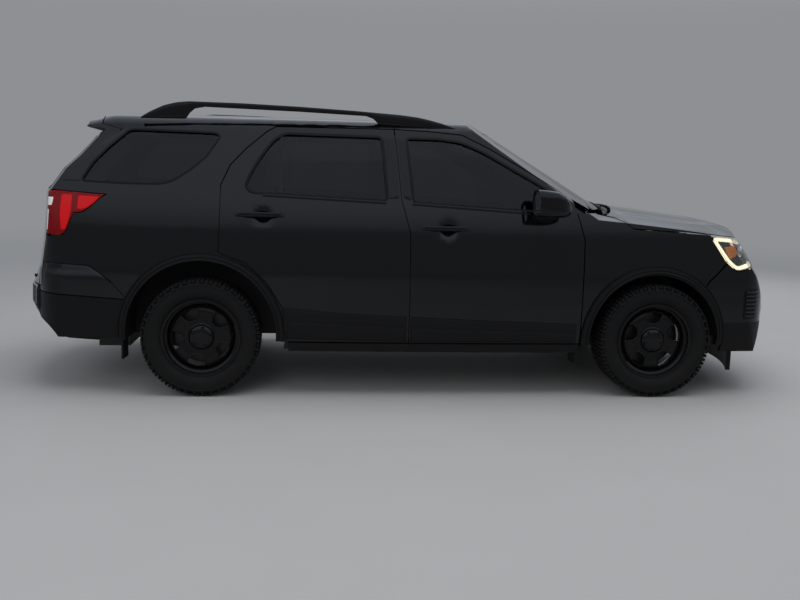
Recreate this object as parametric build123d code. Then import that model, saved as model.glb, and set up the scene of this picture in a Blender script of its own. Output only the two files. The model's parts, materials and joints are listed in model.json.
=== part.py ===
"""Police sport utility vehicle: every panel, wheel and main unit as its own solid.

Millimetres.  +X forward, +Y to the vehicle's left, +Z up, the tyres stand on Z = 0.
The model is drawn about the middle of the wheelbase; save() moves it so that the
origin is under the middle of the whole vehicle.
"""

from build123d import *
import math
import os

os.makedirs("parts", exist_ok=True)

# Overall sizes
wheelbase = 2860.0
front_overhang = 965.0
rear_overhang = 1181.0
half_width = 978.0
track = 1702.0

# Body levels and walls
sill_bottom = 283.0
door_bottom = 345.0
belt_z = 1200.0
roof_z = 1745.0
floor_z = 330.0
floor_thickness = 30.0
roof_thickness = 35.0
door_thickness = 120.0
frame_thickness = 45.0
skin = 28.0
panel_gap = 7.0
gate_gap = 9.0
gate_skin = 15.0
gate_step = 26.0
cowl_gap = 24.0
seat_gap = 0.3
door_step = 60.0
aperture_gap = 16.0
glass_thickness = 5.0
glass_depth = 9.0

# Plan curvature of the sides, nose and tail
side_radius = 24000.0
nose_radius = 1750.0
tail_radius = 2200.0
hood_crown = 4600.0
windshield_crown = 2700.0
corner_radius = 260.0
front_post_inset = 403.0
front_post_y = -637.0
rear_corner_radius = 240.0
rear_post_inset = 400.0
rear_post_y = -640.0

# Wheels
tyre_radius = 363.5
tyre_width = 245.0
rim_radius = 228.6
rim_width = 203.0
tyre_wall = 16.0
hub_bore = 35.0
wheel_bolt_circle = 57.15
brake_radius = 170.0
brake_thickness = 30.0
stub_radius = 24.0
stub_length = 115.0
front_arch_radius = 432.0
rear_arch_radius = 455.0
rear_arch_rise = 15.0
arch_trim_width = 52.0
arch_trim_proud = 22.0
liner_thickness = 8.0
well_wall = 12.0
well_inner_y = 510.0
steer_limit = 35.0
kingpin_offset = 70.0

front_axle = wheelbase / 2
rear_axle = -wheelbase / 2
nose_x = front_axle + front_overhang
tail_x = rear_axle - rear_overhang
centre_shift = (rear_overhang - front_overhang) / 2
wheel_y = track / 2
far = 4000.0


def save(node, *pieces):
    """Write the solids of a node, moved so that the origin is under the vehicle's middle."""
    solids = [solid for piece in pieces for solid in piece.solids()]
    whole = solids[0] if len(solids) == 1 else Compound(solids)
    export_step(whole.moved(Location((centre_shift, 0, 0))), f"parts/{node}.step")


def mirrored(shape):
    """The same shape on the other side of the vehicle."""
    return mirror(shape, about=Plane.XZ)


def block(x_range, y_range, z_range):
    """Box between three pairs of limits."""
    (x0, x1), (y0, y1), (z0, z1) = x_range, y_range, z_range
    centre = Location(((x0 + x1) / 2, (y0 + y1) / 2, (z0 + z1) / 2))
    return centre * Box(x1 - x0, y1 - y0, z1 - z0)


def outline(points, rounding=0.0):
    """Closed XZ outline seen from the vehicle's right, as a face on the plane y = 0."""
    plane = Plane(origin=(0, 0, 0), x_dir=(1, 0, 0), z_dir=(0, -1, 0))
    if rounding:
        wire = FilletPolyline(*points, radius=rounding, close=True)
    else:
        wire = Polyline(*points, close=True)
    return plane * make_face(wire)


def across(face, y_right=-far, y_left=0.0):
    """Solid of an XZ outline between two places across the vehicle."""
    placed = Location((0, y_left, 0)) * face
    return extrude(placed, amount=y_left - y_right, dir=(0, -1, 0))


def grown(face, amount):
    """Face with its outline moved outwards, or inwards below zero."""
    return offset(face, amount=amount, kind=Kind.INTERSECTION)


def arc_chain(points):
    """Edges through points: each arc uses a start, a middle and an end point."""
    return [ThreePointArc(*points[i:i + 3]) for i in range(0, len(points) - 2, 2)]


def side_line(depth, roof_depth):
    """YZ points of the right side from the sill to the middle of the roof."""
    return [
        (-half_width + 38 + depth, sill_bottom),
        (-half_width + 10 + depth, 440),
        (-half_width + depth, 640),
        (-half_width + 2 + depth, 860),
        (-half_width + 20 + depth, 1040),
        (-half_width + 34 + depth, 1110),
        (-half_width + 56 + depth, belt_z),
        (-half_width + 140 + depth, 1440),
        (-half_width + 253 + depth, roof_z - 95 - roof_depth * 0.3),
        (-half_width + 303 + depth, roof_z - 55 - roof_depth * 0.8),
        (-half_width + 378 + depth, roof_z - 33 - roof_depth),
        (-half_width + 668 + depth, roof_z - 9 - roof_depth),
        (0, roof_z - roof_depth),
    ]


def plan_revolve(face):
    """Turn a YZ face of the right half about the side's far centre line."""
    sweep_angle = 14.0
    axis = Axis((0, side_radius - half_width, 0), (0, 0, 1))
    start = face.rotate(axis, -sweep_angle / 2)
    return revolve(start, axis, sweep_angle)


def side_solid(depth, roof_depth=None):
    """Right half of the body, its side surface sunk by depth."""
    roof_depth = depth if roof_depth is None else roof_depth
    points = side_line(depth, roof_depth)
    low, high = points[0], points[-1]
    inner = 400.0
    closing = Polyline(high, (inner, high[1]), (inner, low[1]), low)
    face = Plane.YZ * make_face([*[e.edge() for e in arc_chain(points)], *closing.edges()])
    half = plan_revolve(face)
    return half & block((-far, far), (-far, 0), (0, far))


def cavity_solid():
    """Right half of the hollow inside the doors and the roof lining."""
    low = -half_width + door_thickness
    high = -half_width + 56 + frame_thickness
    roof_in = roof_z - roof_thickness
    points = Polyline(
        (low, floor_z + floor_thickness),
        (low, belt_z - 40),
        (high, belt_z),
        (-half_width + 253 + frame_thickness, roof_in - 85),
        (-half_width + 400 + frame_thickness, roof_in - 30),
        (400, roof_in),
        (400, floor_z + floor_thickness),
        close=True,
    )
    half = plan_revolve(Plane.YZ * make_face(points))
    return half & block((-far, far), (-far, 0), (0, far))


# Side view lines, x and z about the middle of the wheelbase
front_door_line = [
    (937, door_bottom), (937, 1003), (864, 1250), (347, 1547), (172, 1632), (-32, 1648),
    (-253, 1656), (-212, 1228), (-157, 1034), (-152, 613), (-153, door_bottom),
]
rear_door_line = [
    (-153 - panel_gap, door_bottom), (-152 - panel_gap, 613), (-157 - panel_gap, 1034),
    (-212 - panel_gap, 1228), (-253 - panel_gap, 1656), (-990, 1652), (-1044, 1620),
    (-1169, 1510), (-1258, 1412), (-1312, 1291), (-1317, 1025), (-1322, 892),
    (-1160, 832), (-1030, 712), (-935, 560), (-905, door_bottom),
]
front_window_line = [
    (-140, 1218), (-178, 1604), (30, 1603), (164, 1586), (300, 1530), (480, 1428), (651, 1334), (790, 1240),
    (770, 1168), (610, 1176),
]
rear_window_line = [
    (-306, 1222), (-338, 1606), (-934, 1612), (-1000, 1572), (-1075, 1470), (-1135, 1365), (-1165, 1290),
    (-1135, 1254), (-836, 1243),
]
quarter_window_line = [
    (-1410, 1462), (-1330, 1585), (-1360, 1606), (-1880, 1616), (-2000, 1505), (-2090, 1405), (-2150, 1300),
    (-1905, 1291), (-1675, 1292), (-1605, 1312), (-1500, 1382),
]
window_rounding = 16.0
hood_side_line = [(1057, 1166), (1176, 1143), (1259, 1081), (1591, 1062), (1914, 1036), (2033, 1013)]


def nose_cutter():
    """What lies ahead of the nose, turned about the nose's centre of curvature."""
    x = nose_x
    profile = [
        (x - 36, 240), (x - 12, 355), (x, 500), (x - 8, 660), (x - 45, 790),
        (x - 98, 885), (x - 158, 975), (x - 230, 1075), (x - 330, 1190),
    ]
    lines = Polyline((x - 60, 100), profile[0])
    arcs = arc_chain(profile)
    closing = Polyline(profile[-1], (x + 700, 1190), (x + 700, 100), (x - 60, 100))
    face = Plane.XZ * make_face([*lines.edges(), *[a.edge() for a in arcs], *closing.edges()])
    axis = Axis((x - nose_radius, 0, 0), (0, 0, 1))
    reach = 70.0
    return revolve(face.rotate(axis, -reach), axis, 2 * reach)


def tail_cutter():
    """What lies behind the tail."""
    x = tail_x
    profile = [
        (x + 150, 200), (x + 130, 351), (x + 80, 420), (x + 22, 482), (x, 525), (x + 3, 619), (x + 61, 775),
        (x + 92, 1000), (x + 111, 1224), (x + 270, 1450), (x + 400, roof_z),
    ]
    face = Plane.XZ * make_face(
        Polyline(*profile, (x + 400, roof_z + 200), (x - 700, roof_z + 200), (x - 700, 200), close=True)
    )
    axis = Axis((x + tail_radius, 0, 0), (0, 0, 1))
    reach = 60.0
    return revolve(face.rotate(axis, -reach), axis, 2 * reach)


def hood_block():
    """Everything under the crowned surface of the hood and fender tops."""
    line = [(1000, 1222), (1483, 1176), (1850, 1131), (2160, 1058), (2300, 975)]
    low = 200.0
    closing = Polyline(line[-1], (2700, 700), (2700, low), (1000, low), line[0])
    face = Plane.XZ * make_face([*[a.edge() for a in arc_chain(line)], *closing.edges()])
    axis = Axis((0, 0, 1150 - hood_crown), (1, 0, 0))
    spread = 15.0
    return revolve(face.rotate(axis, -spread), axis, 2 * spread)


windshield_foot = (1290.0, 1162.0)
windshield_head = (379.0, 1698.0)


def windshield_drum(depth=0.0):
    """Large cylinder whose front wall, sunk by depth, is the glass surface."""
    (x0, z0), (x1, z1) = windshield_foot, windshield_head
    length = math.hypot(x1 - x0, z1 - z0)
    along = Vector((x1 - x0) / length, 0, (z1 - z0) / length)
    inward = Vector(-along.Z, 0, along.X) * -1
    inward = inward if inward.Z < 0 else inward * -1
    foot = Vector(x0, 0, z0) + inward * windshield_crown
    plane = Plane(origin=foot - along * 3000, x_dir=(0, 1, 0), z_dir=along)
    drum = Cylinder(windshield_crown - depth, length + 6000, align=(Align.CENTER, Align.CENTER, Align.MIN))
    return plane * drum


def cabin_block(depth=0.0):
    """Roof profile with the windshield's surface ahead."""
    roof = [
        (1900, 0), (1900, 1500), (520, 1700 - depth), (204, 1716 - depth), (-700, roof_z - depth),
        (-1700, roof_z - 8 - depth), (-2250, 1695 - depth), (-2800, 1650 - depth), (-2800, 0),
    ]
    return across(outline(roof), -1300, 1300) & windshield_drum(depth)


def corner_trim(depth=0.0):
    """Wedge beyond the rounded front corner, right side, its face sunk by depth."""
    centre_x = nose_x - front_post_inset
    post = Location((centre_x, front_post_y, 600)) * Cylinder(corner_radius - depth, 1400)
    wedge = Polyline(
        (centre_x, front_post_y), (centre_x, -1400), (centre_x + 800, -1400),
        (centre_x + 800, front_post_y - 378), close=True,
    )
    return extrude(make_face(wedge), 1300) - post


def rear_corner_trim(depth=0.0):
    """Wedge beyond the rounded rear corner, right side, its face sunk by depth."""
    centre_x = tail_x + rear_post_inset
    post = Location((centre_x, rear_post_y, 800)) * Cylinder(rear_corner_radius - depth, 1800)
    wedge = Polyline(
        (centre_x, rear_post_y), (centre_x, -1400), (centre_x - 800, -1400),
        (centre_x - 800, rear_post_y - 265), close=True,
    )
    return extrude(make_face(wedge), 1700) - post


top = hood_block() + cabin_block()
gate_thickness = 70.0
outer_right = (side_solid(0) & top) - nose_cutter() - tail_cutter() - corner_trim() - rear_corner_trim()
cavity_right = (cavity_solid() & cabin_block(frame_thickness)) - tail_cutter().moved(Location((gate_thickness, 0, 0)))
cavity_right = cavity_right & block((-far, 1000), (-far, 0), (0, far))


def core_solid(depth):
    """Right half of the body with every outer surface sunk by depth."""
    core = (side_solid(depth) & top.moved(Location((0, 0, -depth)))) - nose_cutter().moved(Location((-depth, 0, 0)))
    core -= tail_cutter().moved(Location((depth, 0, 0)))
    return core - corner_trim(depth) - rear_corner_trim(depth)


skin_right = outer_right - core_solid(skin)
seat_core = core_solid(skin + seat_gap)


def arch_disc(axle_x, radius, rise):
    """Round XZ face of a wheel arch."""
    plane = Plane(origin=(axle_x, 0, tyre_radius + rise), x_dir=(1, 0, 0), z_dir=(0, -1, 0))
    return plane * Circle(radius)


front_arch_outer = front_arch_radius + arch_trim_width
rear_arch_outer = rear_arch_radius + arch_trim_width
front_arch_hole = across(arch_disc(front_axle, front_arch_outer + seat_gap, 0), -far, -well_inner_y + 20)
rear_arch_hole = across(arch_disc(rear_axle, rear_arch_outer + seat_gap, rear_arch_rise), -far, -well_inner_y)

front_door_face = outline(front_door_line)
rear_door_face = outline(rear_door_line) - arch_disc(rear_axle, rear_arch_outer + panel_gap, rear_arch_rise)
front_window_face = outline(front_window_line, window_rounding)
rear_window_face = outline(rear_window_line, window_rounding)
quarter_window_face = outline(quarter_window_line, window_rounding)


# Handle bowls: place along the side, height, inset of the skin there from the half width
handle_bowls = {"front": (75.0, 1058.0, 25.0), "rear": (-1061.0, 1126.0, 38.0)}
bowl_radius = 52.0
bowl_depth = 15.0


def handle_bowl(name):
    """Ball that cuts the shallow bowl behind a door handle."""
    x, z, inset = handle_bowls[name]
    ball = (bowl_radius ** 2 + bowl_depth ** 2) / (2 * bowl_depth)
    skin_y = -half_width + inset + x ** 2 / (2 * side_radius)
    return Location((x, skin_y - ball + bowl_depth, z)) * Sphere(ball)


def door(face, window, name):
    """Thick door: a skin with the whole outline over an inner box set in from the pillars."""
    inner_face = grown(face, -door_step)
    body = (outer_right & across(face)) - cavity_right
    rebate = (across(grown(face, 20)) - across(inner_face)) & side_solid(skin)
    return body - rebate - across(window) - handle_bowl(name)


def door_glass(window):
    """Pane of a door, just clear of its window."""
    pane = outer_right & across(grown(window, -seat_gap)) & side_solid(glass_depth)
    return pane - side_solid(glass_depth + glass_thickness)


hood_front_gap = [(2300, 984), (2600, 984)]
hood_face = outline([(900, 1500), (980, 1204), *hood_side_line, *hood_front_gap, (2600, 1500)])
fender_face = outline([
    (944, door_bottom), (944, 1004), (872, 1248), (980, 1196),
    *[(x, z - panel_gap) for x, z in hood_side_line[:4]], (1780, 1044), (1789, 1019), (1895, 870), (1833, 801),
    (1783, 755), (1700, 600), (1400, door_bottom),
])
headlamp_face = outline([
    (1797, 1019), (1797, 1036), (1914, 1028), (2033, 1005), (2300, 976), (2300, 880), (2085, 845), (1974, 815),
    (1902, 873),
])
front_bumper_face = outline([
    (1903, 862), (1974, 806), (2085, 836), (2300, 871), (2300, 960), (2600, 960), (2600, 480), (1870, 480),
    (1700, 590), (1789, 748), (1840, 794),
])
cowl_foot_y = 440.0
cowl_radius = 1544.0
cowl_front_x = 1326.0


def cowl_drum(extra):
    """Upright cylinder whose front wall is the hood's rear edge."""
    return Location((cowl_front_x - cowl_radius, 0, 1100)) * Cylinder(cowl_radius + extra, 900)


def yz_prism(points, x_from, x_to):
    """Solid of an outline seen from behind, between two places along the vehicle."""
    face = Plane.YZ * make_face(Polyline(*points, close=True))
    return extrude(Location((x_from, 0, 0)) * face, amount=x_to - x_from, dir=(1, 0, 0))


# Edge of the liftgate seen from behind, (y, z)
gate_low = 655.0
gate_line = [
    (0, gate_low), (-770, gate_low), (-800, 800), (-800, 1000), (-770, 1224), (-655, 1600), (-640, 1800), (0, 1800),
]
gate_glass_line = [(0, 1250), (-690, 1250), (-600, 1560), (0, 1600)]


def gate_region(extra):
    """Space of the liftgate, right half, grown by extra on its edges."""
    edge = [(y - extra if y < 0 else y, z - extra if z == gate_low else z) for y, z in gate_line]
    return yz_prism(edge, -3000, -2060 + extra)


def whole(right):
    """Right half joined with its mirror image."""
    return right + mirrored(right)


def body_side():
    """Right side frame: pillars, sill, quarter panel and roof side."""
    shell = outer_right - cavity_right
    shell = shell & block((-far, 1000), (-far, -640), (0, far))
    below_floor = plan_revolve(Plane.YZ * Pos((-842 + 400) / 2, 250) * Rectangle(1242, 220))
    shell -= below_floor
    for face in (front_door_face, rear_door_face):
        shell -= across(grown(face, panel_gap)) - side_solid(skin + panel_gap)
        shell -= across(grown(face, aperture_gap - door_step))
    for face in (fender_face, rear_bumper_face, rear_valance_face, tail_lamp_face):
        shell -= across(grown(face, panel_gap - 3)) - seat_core
    shell -= windshield_space(seat_gap)
    shell -= across(outline([(-1000, 200), (1000, 200), (1000, 342), (-1000, 342)])) - side_solid(60 + seat_gap)
    shell -= rear_arch_hole
    shell -= front_arch_hole
    shell -= across(quarter_window_face)
    shell -= gate_region(gate_gap)
    return shell - block((-3000, -1880), (-far, 0), (0, rear_valance_low))


wheel_places = {
    "front_right": (front_axle, -wheel_y), "front_left": (front_axle, wheel_y),
    "rear_right": (rear_axle, -wheel_y), "rear_left": (rear_axle, wheel_y),
}
kingpin_y = wheel_y - kingpin_offset


def ring_face(points, centre):
    """Turn a radius-and-y profile into a solid of revolution about a wheel axis."""
    face = Plane.YZ * make_face(Polyline(*points, close=True))
    return revolve(face, Axis((0, 0, 0), (0, 1, 0)), 360).moved(Location((centre[0], centre[1], tyre_radius)))


def tyre(place):
    """Hollow tyre on its rim, with rounded shoulders."""
    half = tyre_width / 2
    bead = rim_radius + seat_gap
    wall = tyre_wall
    profile = [
        (-half + 31, bead), (-half + 31, bead + 11), (-half + 2, bead + 34), (-half, bead + 70),
        (-half + 14, tyre_radius - 16),
        (-half + 34, tyre_radius - 2), (0, tyre_radius), (half - 34, tyre_radius - 2),
        (half - 14, tyre_radius - 16), (half, bead + 70), (half - 2, bead + 34), (half - 31, bead + 11),
        (half - 31, bead), (half - 31 - wall, bead), (half - wall, bead + 70), (half - 30, tyre_radius - 22),
        (-half + 30, tyre_radius - 22), (-half + wall, bead + 70), (-half + 31 + wall, bead),
    ]
    return ring_face(profile, place)


def wheel(place):
    """Steel wheel: rim barrel, dished disc with windows and the brake disc behind."""
    out = -1 if place[1] < 0 else 1
    half = rim_width / 2
    barrel = [
        (-half, rim_radius - 8), (-half, rim_radius + 10), (-half + 6, rim_radius + 10),
        (-half + 8, rim_radius), (half - 8, rim_radius), (half - 6, rim_radius + 10),
        (half, rim_radius + 10), (half, rim_radius - 8),
    ]
    disc = [(p[0] * out, p[1]) for p in [
        (74, 0), (74, 62), (60, 74), (52, 96), (62, 150), (52, 190), (20, 205), (20, rim_radius - 6),
        (8, rim_radius - 6), (8, 196), (42, 180), (50, 150), (40, 96), (20, 70), (20, 0),
    ]]
    rotor = [(p[0] * out, p[1]) for p in [
        (20, 0), (20, 70), (-20, 78), (-20, brake_radius), (-20 - brake_thickness, brake_radius),
        (-20 - brake_thickness, 60), (-20 - brake_thickness, 0),
    ]]
    body = ring_face(barrel, place) + ring_face(disc, place) + ring_face(rotor, place)
    window = across(outline([(-38, 112), (-72, 166), (-44, 182), (44, 182), (72, 166), (38, 112)], 11))
    reach = (1, 100) if out > 0 else (-100, -1)
    for index in range(5):
        turned = window.moved(Location((0, far / 2, 0))).rotate(Axis((0, 0, 0), (0, 1, 0)), 72 * index)
        body -= (turned & block((-far, far), reach, (-far, far))).moved(Location((place[0], place[1], tyre_radius)))
    return body


def both(right):
    """A right-hand solid and its mirror image."""
    return [right, mirrored(right)]


def rod(start, end, radius):
    """Round bar between two points."""
    start, end = Vector(*start), Vector(*end)
    plane = Plane(origin=start, z_dir=end - start)
    return plane * Cylinder(radius, (end - start).length, align=(Align.CENTER, Align.CENTER, Align.MIN))


def front_fenders():
    """Fender skins between the doors, the hood and the front bumper."""
    above_hood = cabin_block() & block((-far, far), (-far, far), (1166, 3000))
    right = (skin_right & across(fender_face)) - front_arch_hole - above_hood
    right = right & block((0, far), (-far, -735), (0, far))
    save("front_fenders", *both(right))


hood_pin_x = 1110.0
hood_pin_z = 1102.0
hood_arm_y = 680.0


def hood():
    """Hood with its hinge arms."""
    right = (skin_right & across(hood_face)) - cowl_drum(0)
    plate = outline([(hood_pin_x - 14, hood_pin_z - 8), (hood_pin_x + 30, hood_pin_z - 12), (1270, 1112), (1270, 1138),
                     (1170, 1138), (hood_pin_x, hood_pin_z + 14)])
    arm = across(plate, -hood_arm_y - 6, -hood_arm_y + 6) & (top.moved(Location((0, 0, -10))))
    bore = rod((hood_pin_x, -hood_arm_y - 20, hood_pin_z), (hood_pin_x, -hood_arm_y + 20, hood_pin_z), 5.3)
    save("hood", whole(right + arm - bore))


def cowl():
    """Cover between the hood and the windshield, on a lip that stands on the firewall's shelf."""
    right = top.moved(Location((0, 0, -4))) - top.moved(Location((0, 0, -14)))
    right = right & cowl_drum(-cowl_gap) & block((900, 1400), (-hood_arm_y + 12, 0), (1000, 1300))
    right -= windshield_drum(-2)
    right += block((1195, 1210), (-cowl_foot_y, 0), (1140.3, 1172))
    save("cowl", whole(right))


def lamps():
    """Headlamps and tail lamps as blocks of the skin."""
    beside_grille = block((0, 2600), (-far, -grille_half_width - seat_gap), (0, far))
    save("headlamps", *both(skin_right & across(headlamp_face) & beside_grille))
    right = (skin_right & across(tail_lamp_face)) - gate_region(gate_gap)
    save("tail_lamps", *both(right))


grille_half_width = 440.0
grille_low = 520.0
grille_high = 955.0
grille_frame = 22.0
grille_bars = 9
bar_low = 570.0
bar_pitch = 42.0
bar_height = 12.0
bar_sunk = 6.0
valance_joint = 480.0
lip_low = 248.0
lip_high = 290.0
lip_inset = 24.0
lip_wall = 36.0
shelf_thickness = 12.0
dam_inset = 160.0
dam_wall = 30.0
dam_low = 110.0
dam_half_width = 640.0


def nose_ring(outer_inset, inner_inset, low, high):
    """Upright ring that follows the nose in plan, its walls set back from the nose's widest line."""
    ring = Cylinder(nose_radius - outer_inset, high - low) - Cylinder(nose_radius - inner_inset, high - low)
    return Location((nose_x - nose_radius, 0, (low + high) / 2)) * ring


def nose_lip():
    """Lip, shelf and air dam under the nose, right half."""
    shelf_inner = dam_inset + dam_wall
    lip = nose_ring(lip_inset, lip_inset + lip_wall, lip_low, lip_high)
    lip += nose_ring(lip_inset, shelf_inner, lip_low, lip_low + shelf_thickness)
    lip += nose_ring(dam_inset, shelf_inner, dam_low, lip_low + shelf_thickness)
    return lip & block((1900, 2600), (-dam_half_width, 0), (0, 400))


def nose_pieces():
    """Front bumper, the valances under both bumpers and the grille."""
    grille_space = block((1900, 2600), (-grille_half_width, 0), (grille_low, grille_high))
    right = (skin_right & across(front_bumper_face)) - front_arch_hole - grille_space
    save("front_bumper", whole(right))
    joint_z = valance_joint - seat_gap
    lower_face = outline([(1860, joint_z), (2600, joint_z), (2600, 200), (1860, 200)])
    right = (skin_right & across(lower_face)) - front_arch_hole
    save("bumper_valances", whole(right + nose_lip()), whole(rear_valance()))
    save("grille", whole(grille()))


def grille():
    """Frame and level bars, right half."""
    frame_y = -grille_half_width + seat_gap
    frame = skin_right & block((1900, 2600), (frame_y, 0), (grille_low + seat_gap, grille_high - seat_gap))
    frame -= block((1900, 2600), (-grille_half_width + grille_frame, 10),
                   (grille_low + grille_frame, grille_high - grille_frame))
    for index in range(grille_bars):
        z = bar_low + index * bar_pitch
        bar = skin_right & block((1900, 2600), (-grille_half_width + grille_frame / 2, 0), (z, z + bar_height))
        frame += bar - nose_cutter().moved(Location((-bar_sunk, 0, 0)))
    return frame


rear_valance_low = 345.0
rear_bumper_face = outline([
    (-1880, 592), (-1965, 690), (-2099, 790), (-2366, 803), (-2700, 806), (-2700, 640), (-2395, 622),
])
rear_valance_face = outline([
    (-1880, rear_valance_low), (-1870, 585), (-2395, 615), (-2700, 633), (-2700, rear_valance_low),
])


def rear_valance():
    """Skin under the rear bumper, right half."""
    return (skin_right & across(rear_valance_face)) - rear_arch_hole


def rear_bumper():
    """Painted rear bumper, round both corners."""
    right = (skin_right & across(rear_bumper_face)) - rear_arch_hole - gate_region(gate_gap)
    save("rear_bumper", whole(right))


roof_seam_y = 640.0


def roof():
    """Roof panel with its lining and the liftgate's hinges."""
    shell = (outer_right - cavity_right) & block((-2052, 1000), (-roof_seam_y + seat_gap, 0), (1600, 1800))
    shell -= windshield_space(seat_gap)
    for lug_y in gate_hinge_y:
        hinge = gate_lug(lug_y, 4, 19)
        for offset_y in (-14.5, 14.5):
            hinge += gate_lug(lug_y + offset_y, 8, 4.5)
            hinge += block((gate_pin_x, -2040), (-lug_y - offset_y - 4.5, -lug_y - offset_y + 4.5), (1692, gate_pin_z))
        shell = (shell - gate_lug(lug_y, 14, 9.5)) + hinge
    save("roof", whole(shell))


tail_lamp_face = outline([
    (-2700, 1238), (-2306, 1238), (-2002, 1218), (-2049, 1185), (-2095, 1140), (-2137, 1112), (-2192, 1104),
    (-2210, 1060), (-2240, 990), (-2268, 963), (-2700, 985),
])


def windshield_space(clear):
    """Space cut for the windshield: a layer under its surface, inside its outline."""
    edge = [(0, 1186 - clear), (-735 - clear, 1186 - clear), (-600 - clear, 1655 + clear), (0, 1655 + clear)]
    region = yz_prism(edge, 200, 1500)
    return (region & windshield_drum(0)) - windshield_drum(glass_thickness + 2 + clear)


def windshield():
    """Windshield and the fixed glass behind the rear doors."""
    edge = [(0, 1186), (-735, 1186), (-600, 1655), (0, 1655)]
    pane = (yz_prism(edge, 200, 1500) & windshield_drum(1)) - windshield_drum(glass_thickness + 1)
    right = outer_right & across(grown(quarter_window_face, -seat_gap)) & side_solid(glass_depth)
    right -= side_solid(glass_depth + glass_thickness)
    save("fixed_glass", whole(pane & outer_right), *both(right))


plate_wall_x = -2515.0
plate_width = 330.0
plate_height = 172.0
plate_low = 806.0
plate_hole_spacing = 178.0
plate_hole_z = 950.0
plate_hole_radius = 3.0


gate_pin_x = -2056.0
gate_pin_z = 1706.0
gate_hinge_y = (420.0,)


def gate_lug(lug_y, radius, half_length):
    """Round bar on the liftgate's hinge line, right side."""
    return rod((gate_pin_x, -lug_y - half_length, gate_pin_z), (gate_pin_x, -lug_y + half_length, gate_pin_z), radius)


def liftgate():
    """Hollow gate with its window, plate recess and hinge eyes, and its glass."""
    shell = (outer_right - cavity_right) & gate_region(0)
    shell -= core_solid(gate_skin) - gate_region(-gate_step)
    window = yz_prism(gate_glass_line, -3000, -1900)
    shell -= window & tail_cutter().moved(Location((500, 0, 0)))
    plate = block((-2800, plate_wall_x), (-plate_width / 2, 0), (plate_low, plate_low + plate_height))
    hole = rod((-2800, -plate_hole_spacing / 2, plate_hole_z), (-2300, -plate_hole_spacing / 2, plate_hole_z),
               plate_hole_radius)
    shell = shell - plate - hole
    for lug_y in gate_hinge_y:
        shell -= gate_lug(lug_y, 24, 20)
        eye = gate_lug(lug_y, 9, 9) + block((-2085, gate_pin_x), (-lug_y - 9, -lug_y + 9), (gate_pin_z - 9, gate_pin_z))
        shell += eye
        shell -= gate_lug(lug_y, 4.3, 30)
    save("liftgate", whole(shell))
    save("liftgate_glass", whole(gate_pane()))


gate_glass_sunk = 6.0
gate_glass_thickness = 8.0


def gate_pane():
    """Right half of the liftgate's glass, just clear of its window."""
    edge = []
    for y, z in gate_glass_line:
        edge.append((y + (seat_gap if y else 0), z + (seat_gap if z < 1300 else -seat_gap)))
    pane = yz_prism(edge, -3000, -1900) & outer_right
    pane = pane & tail_cutter().moved(Location((gate_glass_sunk + gate_glass_thickness, 0, 0)))
    return pane - tail_cutter().moved(Location((gate_glass_sunk, 0, 0)))


seal_inset = 22.0
seal_width = 14.0


def door_seals():
    """Rubber rings that the doors close on."""
    rings = []
    for face in (front_door_face, rear_door_face):
        ring = across(grown(face, -seal_inset)) - across(grown(face, -seal_inset - seal_width))
        ring = (outer_right & ring & side_solid(skin + seat_gap)) - side_solid(skin + panel_gap - seat_gap)
        rings.extend(both(ring))
    save("door_seals", *rings)


def doors():
    """Four doors and their panes."""
    names = [("front", front_door_face, front_window_face), ("rear", rear_door_face, rear_window_face)]
    for name, face, window in names:
        right = door(face, window, name)
        pane = door_glass(window)
        for side, turn in (("right", lambda s: s), ("left", mirrored)):
            save(f"door_{name}_{side}", turn(right))
            save(f"glass_{name}_{side}", turn(pane))


def mirrors():
    """Mirror heads, rounded in side and top view, each on an arm from the door."""
    side_view = outline([(592, 1150), (760, 1140), (802, 1185), (740, 1298), (584, 1308)], 26)
    top_view = Polyline(
        (584, -985), (584, -1136), (640, -1145), (735, -1118), (795, -1050), (806, -985), close=True,
    )
    head = across(side_view, -1145, -985) & extrude(Location((0, 0, 1100)) * make_face(top_view), 300)
    arm = across(outline([(600, 1100), (730, 1108), (730, 1160), (600, 1160)], 14), -1020, -900)
    right = head + (arm - side_solid(-seat_gap))
    save("mirror_right", right)
    save("mirror_left", mirrored(right))


# Mud flaps: front face, top and bottom
flap_places = [(-1893.0, floor_z - seat_gap, 215.0), (938.0, sill_bottom - seat_gap, 200.0)]
flap_thickness = 8.0


def trims():
    """Arch mouldings, front wheel liners, mud flaps and sill mouldings."""
    rings = []
    pieces = [
        (front_axle, front_arch_radius, 0, [(900, door_bottom), (1900, door_bottom), (1900, 1000), (900, 1000)]),
        (rear_axle, rear_arch_radius, rear_arch_rise,
         [(-1960, door_bottom), (-900, door_bottom), (-900, 1000), (-1960, 1000)]),
    ]
    for axle_x, radius, rise, limits in pieces:
        face = arch_disc(axle_x, radius + arch_trim_width, rise) - arch_disc(axle_x, radius, rise)
        ring = (side_solid(-arch_trim_proud) & across(face)) - side_solid(skin)
        rings.append(ring & across(outline(limits)))
    liner_out = arch_disc(front_axle, front_arch_radius - seat_gap, 0)
    liner = across(liner_out - arch_disc(front_axle, front_arch_radius - liner_thickness, 0), -940, -well_inner_y)
    liner -= block((front_axle - 60, front_axle + 60), (-745, -400), (600, 1000))
    rings.append(liner & block((0, 2600), (-far, 0), (380, 1000)))
    for flap_x, top_z, low_z in flap_places:
        rings.append(block((flap_x - flap_thickness, flap_x), (-920, -760), (low_z, top_z)))
    save("arch_trim", *[p for ring in rings for p in both(ring)])
    rocker = across(outline([(-900, 284), (930, 284), (930, 338), (-900, 338)]))
    right = (side_solid(-12) & rocker) - side_solid(60)
    save("rocker_trim", *both(right))


load_floor_z = 366.0


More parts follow.
